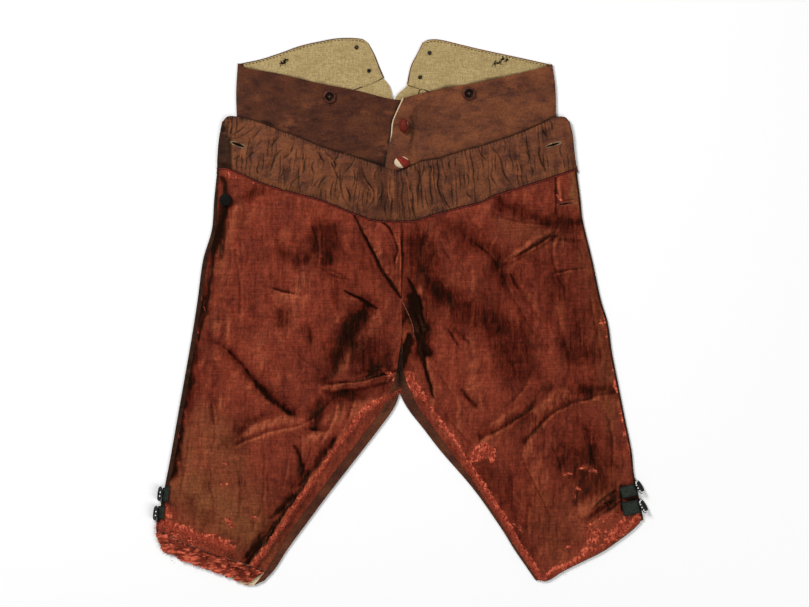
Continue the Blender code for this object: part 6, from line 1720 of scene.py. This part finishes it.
def knee_buckle(name, spot, turn, lean, bright):
    """A buckle ring that stands on its thick bar, with a short row of lit cut steel beads on its
    thin bar, as many as the side gives; the rest of the ring is dark steel, the beads in painted
    shade, and a dark plate fills the ring.
    """
    turn, lean = math.radians(turn), math.radians(lean)
    along = np.array([math.cos(turn), math.sin(turn), 0.0])
    out = np.array([-along[1], along[0], 0.0])
    down = out * math.cos(lean) - np.array([0.0, 0.0, math.sin(lean)])
    face = np.cross(along, down)
    centre = np.array([*spot, RING_HALF_WIDTH * math.sin(lean) + 1.9 + SEAM_GAP])

    def middle(angle):
        c, s = np.cos(angle)[:, None], np.sin(angle)[:, None]
        length = RING_HALF_LENGTH * np.sign(c) * np.abs(c) ** RING_SQUARENESS
        width = RING_HALF_WIDTH * np.sign(s) * np.abs(s) ** RING_SQUARENESS
        return centre + along * length + down * width

    angle = 2 * np.pi * (np.arange(RING_STEPS) + 0.5) / RING_STEPS
    ring = middle(angle)
    tangent = unit(np.roll(ring, -1, 0) - np.roll(ring, 1, 0))
    side = unit(np.cross(tangent, face))
    radius = mix(RING_THIN, RING_THICK, (1 + np.sin(angle)) / 2)[:, None]
    around_ring = 2 * np.pi * np.arange(RING_SIDES) / RING_SIDES
    verts = (ring[:, None] + (side[:, None] * np.cos(around_ring)[None, :, None]
                              - face * np.sin(around_ring)[None, :, None]) * radius[:, None])
    toward = face * np.sign(face[2])
    rim = centre + (ring[::3] - centre) * 0.97
    plate = [centre + (rim - centre) * share + toward * lift
             for share, lift in ((0.1, -0.45), (1.0, -0.3), (1.0, 0.2), (0.1, 0.45))]
    parts = [(verts.reshape(-1, 3), ring_faces(RING_STEPS, RING_SIDES, closed=True)),
             (chain(*(plate if face[2] > 0 else plate[::-1])), ring_faces(4, len(rim)))]
    small("buckle_" + name, parts, SHADED_STEEL, ["knee_buckle_" + name])
    beads = []
    for t in 1.5 * np.pi + 2 * np.pi * (np.arange(bright) - (bright - 1) / 2) / BEADS:
        thick = mix(RING_THIN, RING_THICK, (1 + math.sin(t)) / 2)
        seat = middle(np.array([t]))[0] + (toward * 0.75 + np.array([0.0, 0.0, 0.35])) * thick
        beads.append(bead(seat, toward))
    small("beads_" + name, beads, LIT_BEAD)


def bead(place, up):
    """A small faceted bead, its crown along the given way."""
    side = unit(np.cross(up, [0.3, 0.9, 0.2]))
    other = np.cross(up, side)
    verts = [place + (side * math.cos(t) + other * math.sin(t)) * BEAD_RADIUS * share
             + up * BEAD_RADIUS * height
             for share, height in ((0.5, -0.7), (1.0, 0.0), (0.72, 0.55), (0.25, 0.85))
             for t in (2 * math.pi * k / 7 for k in range(7))]
    return np.array(verts), ring_faces(4, 7)


# -------------------------------------------------------------------------- buttons

BRACE_PROFILE = ((0.8, 0.0), (6.4, 0.0), (7.8, 0.25), (8.45, 0.9), (8.5, 1.7), (8.1, 2.5),
                 (7.3, 2.95), (6.3, 3.0), (5.5, 2.75), (4.9, 2.2), (4.5, 1.7), (3.4, 1.5),
                 (1.9, 1.55), (0.5, 1.6))
COVER_PROFILE = ((0.10, 0.0), (0.60, 0.0), (0.88, 0.10), (0.98, 0.26), (1.0, 0.38), (0.95, 0.54),
                 (0.84, 0.70), (0.64, 0.86), (0.40, 0.96), (0.10, 1.0))
SIDE_PROFILE = ((0.6, 0.0), (5.8, 0.0), (7.2, 0.35), (7.9, 0.9), (8.0, 1.4), (7.6, 2.0),
                (6.6, 2.5), (5.2, 2.85), (3.0, 3.1), (0.6, 3.2))
SIDE_BUTTON = (-222.0, 143.0)
ON_WAIST = WAIST_TOP + SEAM_GAP


def brace_button(side):
    """A dished horn button, sewn on with crossed threads."""
    x, y = side.brace
    verts, faces = turned(rounded(BRACE_PROFILE, 40), (x, y, ON_WAIST), 48)
    far = np.hypot(verts[:, 0] - x, verts[:, 1] - y)
    small("brace_button_%s_horn" % side.name, [(verts, faces)], HORN,
          ["brace_button_" + side.name], {"dark": ease((6.3 - far) / 1.3)})
    cross = []
    for c, s in ((0.8, 0.6), (0.6, -0.8), (0.92, 0.38), (0.30, -0.95)):
        across, down = 1.6 * c + 0.5 * s, 1.6 * s - 0.5 * c
        cross.append(tube([(x - across, y - down, ON_WAIST + 1.75), (x, y, ON_WAIST + 2.2),
                           (x + across, y + down, ON_WAIST + 1.75)], 0.38, 6))
    small("brace_thread_" + side.name, cross, BROWN_THREAD)


def covered_button(name, at_x, at_y, half_x, half_y, height, tilt, darkening):
    """A gathered cloth cover over a button, darkened all over by a given share, with painted shade
    round its foot, and rubbed bare at its edges.
    """
    place = (at_x, at_y, ON_WAIST + LAP_RISE)
    profile = [(r, h * height) for r, h in rounded(COVER_PROFILE, 30)]
    verts, faces = turned(profile, place, 64, half_x, half_y, tilt)
    x, y = verts[:, 0] - at_x, verts[:, 1] - at_y
    turn, far = np.arctan2(y / half_y, x / half_x), np.hypot(x / half_x, y / half_y)
    gathers = 0.16 * np.sin(turn * 13 + 1.5 * np.sin(turn * 3)) * ease((far - 0.4) / 0.5)
    verts[:, 2] += gathers * (verts[:, 2] > place[2] + 0.2)
    verts[:, 2] = np.maximum(verts[:, 2], place[2])
    # Painted shade low on the cover, where it meets the cloth
    low = ease(1 - (verts[:, 2] - place[2]) / (0.3 * height))
    if name == "lower":
        bare = np.maximum(ease((-0.8 * x - 0.6 * y - 1.6) / 1.8),
                          0.8 * ease((0.5 * x + 0.9 * y - 6.0) / 0.9))
    else:
        bare = 0.55 * ease((x - 3.6) / 1.4) * ease((y + 4) / 6)
    small("waist_button_%s_cover" % name, [(verts, faces)], COVERED,
          ["waist_button_" + name], {"bare": bare, "dark": np.clip(0.75 * low + darkening, 0, 1)})


def side_button(reader):
    """The black covered button of the fall."""
    x, y = SIDE_BUTTON
    seat = reader(x, y, 12.0) + SEAM_GAP
    verts, faces = turned(rounded(SIDE_PROFILE, 30), (x, y, seat), 40)
    turn = np.arctan2(verts[:, 1] - y, verts[:, 0] - x)
    far = np.hypot(verts[:, 0] - x, verts[:, 1] - y)
    verts[:, 2] += 0.12 * np.sin(turn * 10) * ease((far - 2) / 3) * (verts[:, 2] > seat + 0.3)
    small("side_button", [(verts, faces)], BLACK, ["fall_button_right"])


# ------------------------------------------------------------------------------- trim

CROTCH_EDGE = line((401, 299), (406, 309), (410, 318), (413, 327), (414, 337))
CROTCH_TACK = line((399.7, 367.5), (399.7, 374.0))
LOOP = line((418, 97), (418.5, 93), (420, 89.5), (423, 89), (425.5, 90), (427, 92))


def trim(side, front, band, lining):
    """Piping, seams, stitches, buttonholes, eyelets and frays of one side."""
    name, seed = side.name, side.seed
    on_front, on_band, on_linen = height_reader(front), height_reader(band), height_reader(lining)
    seam = band[-1, :, :2]
    seam = seam if seam[0, 0] < seam[-1, 0] else seam[::-1]
    cord = on_cloth(even(beside(seam, -1.5)[::6], 1.6), on_front, 0.25)
    cord[:, 2] += 0.15 * lumps(cord[:, 0], cord[:, 1], 4, 4, seed + 81)
    small("piping_" + name, [tube(cord, 0.95, 7, flat=0.75)], PIPING)
    small("seam_thread_" + name, stitches(beside(seam, -0.35)[::6], on_front, 3.1, 1.7, 0.30,
                                          seed + 82, 10.0, 0.6), DARK_THREAD)

    edge = even(side.back_top, 2.0)
    inside = beside(edge, 2.9)
    inside = inside if inside[:, 1].mean() < edge[:, 1].mean() else beside(edge, -2.9)
    parts = stitches(inside[3:-3], on_linen, 4.4, 2.5, 0.36, seed + 83)
    cord = on_cloth(even(side.linen_seam, 1.2), on_linen, 0.05, 2.0)
    verts, faces = tube(cord, 0.8, 8, flat=0.5)
    small("linen_cord_" + name, [(verts, faces)], LINEN, (),
          {"dark": np.full(len(verts), 0.32)})
    small("linen_seam_" + name, stitches(side.linen_seam, on_linen, 2.3, 1.2, 0.22, seed + 84),
          BROWN_THREAD)
    for k, place in enumerate(side.tufts):
        parts += fibres(place + points((-1.2, -0.6), (1.2, 0.6)), on_linen, 14, 0.8, 3.2, 0.36,
                        seed + 85 + k, 1.0, 1.2)
    if side is LEFT:
        parts.append(tube(on_cloth(even(LOOP, 0.8), on_linen, 0.35), 0.36, 6))
    small("linen_thread_" + name, parts, DARK_THREAD)
    for k, place in enumerate(side.eyelets):
        eyelet("eyelet_%s_%d" % (name, k), place, on_linen, seed + 90 + k)
    for k, slit in enumerate(side.band_slits):
        buttonhole("band_buttonhole_%s_%d" % (name, k), slit, on_band, PALE_THREAD, seed + 95)
    for k, slit in enumerate(side.front_slits):
        buttonhole("silk_buttonhole_%s_%d" % (name, k), slit, on_front, PINK_THREAD, seed + 96)

    parts = []
    for k in range(7):
        parts += stitches(side.tack + [side.sign * (0.45 * k - 1.5), -0.2 * k], on_band, 2.2, 2.6,
                          0.42, seed + 130 + k, 0.0, -1.8)
    small("side_tack_" + name, parts, BROWN_THREAD)
    if side is RIGHT:
        parts = []
        for k in range(5):
            parts += stitches(CROTCH_TACK + [0.9 * k - 1.8, 0.0], lambda x, y: FRONT_FLOOR, 1.0,
                              1.5, 0.36, 470 + k, 0.0, -0.6 + 0.1 * k)
        small("crotch_tack", parts, DARK_THREAD)
    parts = []
    for k, (dense, spread, length, *pairs) in enumerate(side.frays):
        track = line(*pairs)
        parts += fibres(track, on_front, int(run_of(track) * dense), spread, length, 0.27,
                        seed + 100 + k, 0.8, 0.7)
    for k, track in enumerate(side.flecks):
        parts += fibres(track, on_front, 9, 0.5, 2.4, 0.20, seed + 120 + k, 0.4, 0.3)
    small("frayed_silk_" + name, parts, CORAL)
    if side is RIGHT:
        small("frayed_lining", fibres(line((159, 541), (165, 543), (173, 546)), on_front, 60, 1.3,
                                      3.6, 0.34, 480, 1.2, 0.3), CREAM)


def centre_trim(bands, waist, front):
    """Stitches down the middle of the fall, the lap's pale edge and the left front's edges."""
    reader = height_reader(*bands)
    parts = stitches(line((396.5, 170), (397, 190), (398, 221)), reader, 2.5, 1.5, 0.3, 301,
                     65.0, 0.1)
    parts += stitches(line((394, 173), (395, 195), (396, 219)), reader, 3.6, 1.4, 0.26, 302,
                      10.0, 0.1)
    small("fall_stitches", parts, DARK_THREAD)
    edge = even(LEFT.front_end, 1.2)
    fade = ease((edge[:, 1] - 208.0) / 30.0)
    track = on_cloth(beside(edge, 0.35), height_reader(waist), -0.15, 3.0)
    small("lap_edge", [tube(track, 0.55 + 0.30 * fade, 7)], CREAM, (),
          {"dark": np.repeat(0.9 - 0.9 * fade, 7)})
    reader = height_reader(front)
    edge = on_cloth(even(CROTCH_EDGE, 1.0), reader, 0.25)
    small("crotch_edge", [tube(edge, 0.5, 6)], PINK_THREAD)
    parts = stitches(line((555, 178), (555.5, 196), (556, 214)), reader, 2.6, 1.5, 0.26, 303)
    small("placket_stitches", parts, DARK_THREAD)
    track = on_cloth(even(front[-1, 4:-4:4, :2], 1.6), reader, -0.7) + [0.0, -0.35, 0.0]
    small("hem_edge_left", [tube(track, 0.85, 7)], BROWN_THREAD)


# ----------------------------------------------------------------------------- staging

AMBIENT = 0.26
LAMPS = [("key", 82.0, 1.3, (-1.7, 1.6, 2.2)), ("fill", 42.0, 2.0, (1.9, -1.2, 2.3))]
CAMERA_LENS, CAMERA_SENSOR = 85.0, 36.0
PICTURE_WIDTH, PICTURE_HEIGHT = 809.0, 607.0
CLOTH_PLANE, FLOOR_HALF, FLOOR_DROP = 5.0, 6.0, 0.0002


def placed(name, data, place):
    """An object in the scene, at a place in metres."""
    made = bpy.data.objects.new(name, data)
    made.location = place
    bpy.context.scene.collection.objects.link(made)
    return made


def stage():
    """A pale floor, soft light from the upper left, and a camera that looks straight down."""
    mesh = bpy.data.meshes.new("floor")
    mesh.from_pydata([(x * FLOOR_HALF, y * FLOOR_HALF, 0.0)
                      for x, y in ((-1, -1), (1, -1), (1, 1), (-1, 1))], [], [(0, 1, 2, 3)])
    paint = Paint("white floor", 0.9, 0.1)
    paint.colour = (0.97, 0.97, 0.97)
    mesh.materials.append(paint.finish())
    floor = placed("floor", mesh, (0.0, 0.0, -FLOOR_DROP))

    scene = bpy.context.scene
    scene.world = bpy.data.worlds.new("studio")
    scene.world.use_nodes = True
    sky = scene.world.node_tree.nodes["Background"].inputs
    sky["Color"].default_value = (1.0, 1.0, 1.0, 1.0)
    sky["Strength"].default_value = AMBIENT
    for name, energy, size, place in LAMPS:
        data = bpy.data.lights.new(name, "AREA")
        data.energy, data.shape, data.size = energy, "DISK", size
        lamp = placed(name, data, place)
        lamp.rotation_mode = "QUATERNION"
        lamp.rotation_quaternion = (-Vector(place)).to_track_quat("-Z", "Y")

    data = bpy.data.cameras.new("camera")
    data.lens, data.sensor_width = CAMERA_LENS, CAMERA_SENSOR
    data.clip_start, data.clip_end = 0.1, 20.0
    distance = PICTURE_WIDTH * PIXEL * MM * CAMERA_LENS / CAMERA_SENSOR
    aim = to_frame([*from_grid(PICTURE_WIDTH / 2, PICTURE_HEIGHT / 2), CLOTH_PLANE])
    scene.camera = placed("camera", data, (*aim[:2], distance + CLOTH_PLANE * MM))
    scene.view_settings.view_transform = "Standard"


# --------------------------------------------------------------------------- build all

def main():
    """The cloth and sewing of each side, what lies across both, and the staging."""
    fronts, bands, waists = {}, {}, {}
    for side in (RIGHT, LEFT):
        inseam, sideseam = back_leg(side)
        front = fronts[side.name] = front_leg(side, inseam, sideseam)
        band = bands[side.name] = fall_band(side, front)
        bearer(side)
        waists[side.name] = waistband(side)
        lining = waistband_lining(side)
        seat_lining(side)
        if side is RIGHT:
            knee_band(front)
            leg_lining(front, inseam, sideseam)
        trim(side, front, band, lining)
    centre_trim(bands.values(), waists["left"], fronts["left"])
    readers = {name: height_reader(front) for name, front in fronts.items()}
    for side in (RIGHT, LEFT):
        brace_button(side)
    covered_button("upper", 4.0, 237.0, 5.9, 9.0, 7.0, 12.0, 0.45)
    covered_button("lower", 1.5, 190.5, 9.4, 7.4, 6.5, 0.0, 0.08)
    side_button(readers["right"])
    for name, (corner, spot, turn, lean) in STRAPS.items():
        side = LEFT if name.startswith("left") else RIGHT
        knee_strap(name, corner, readers[side.name])
        knee_buckle(name, spot, turn, lean, side.bright_beads)
    stage()


main()
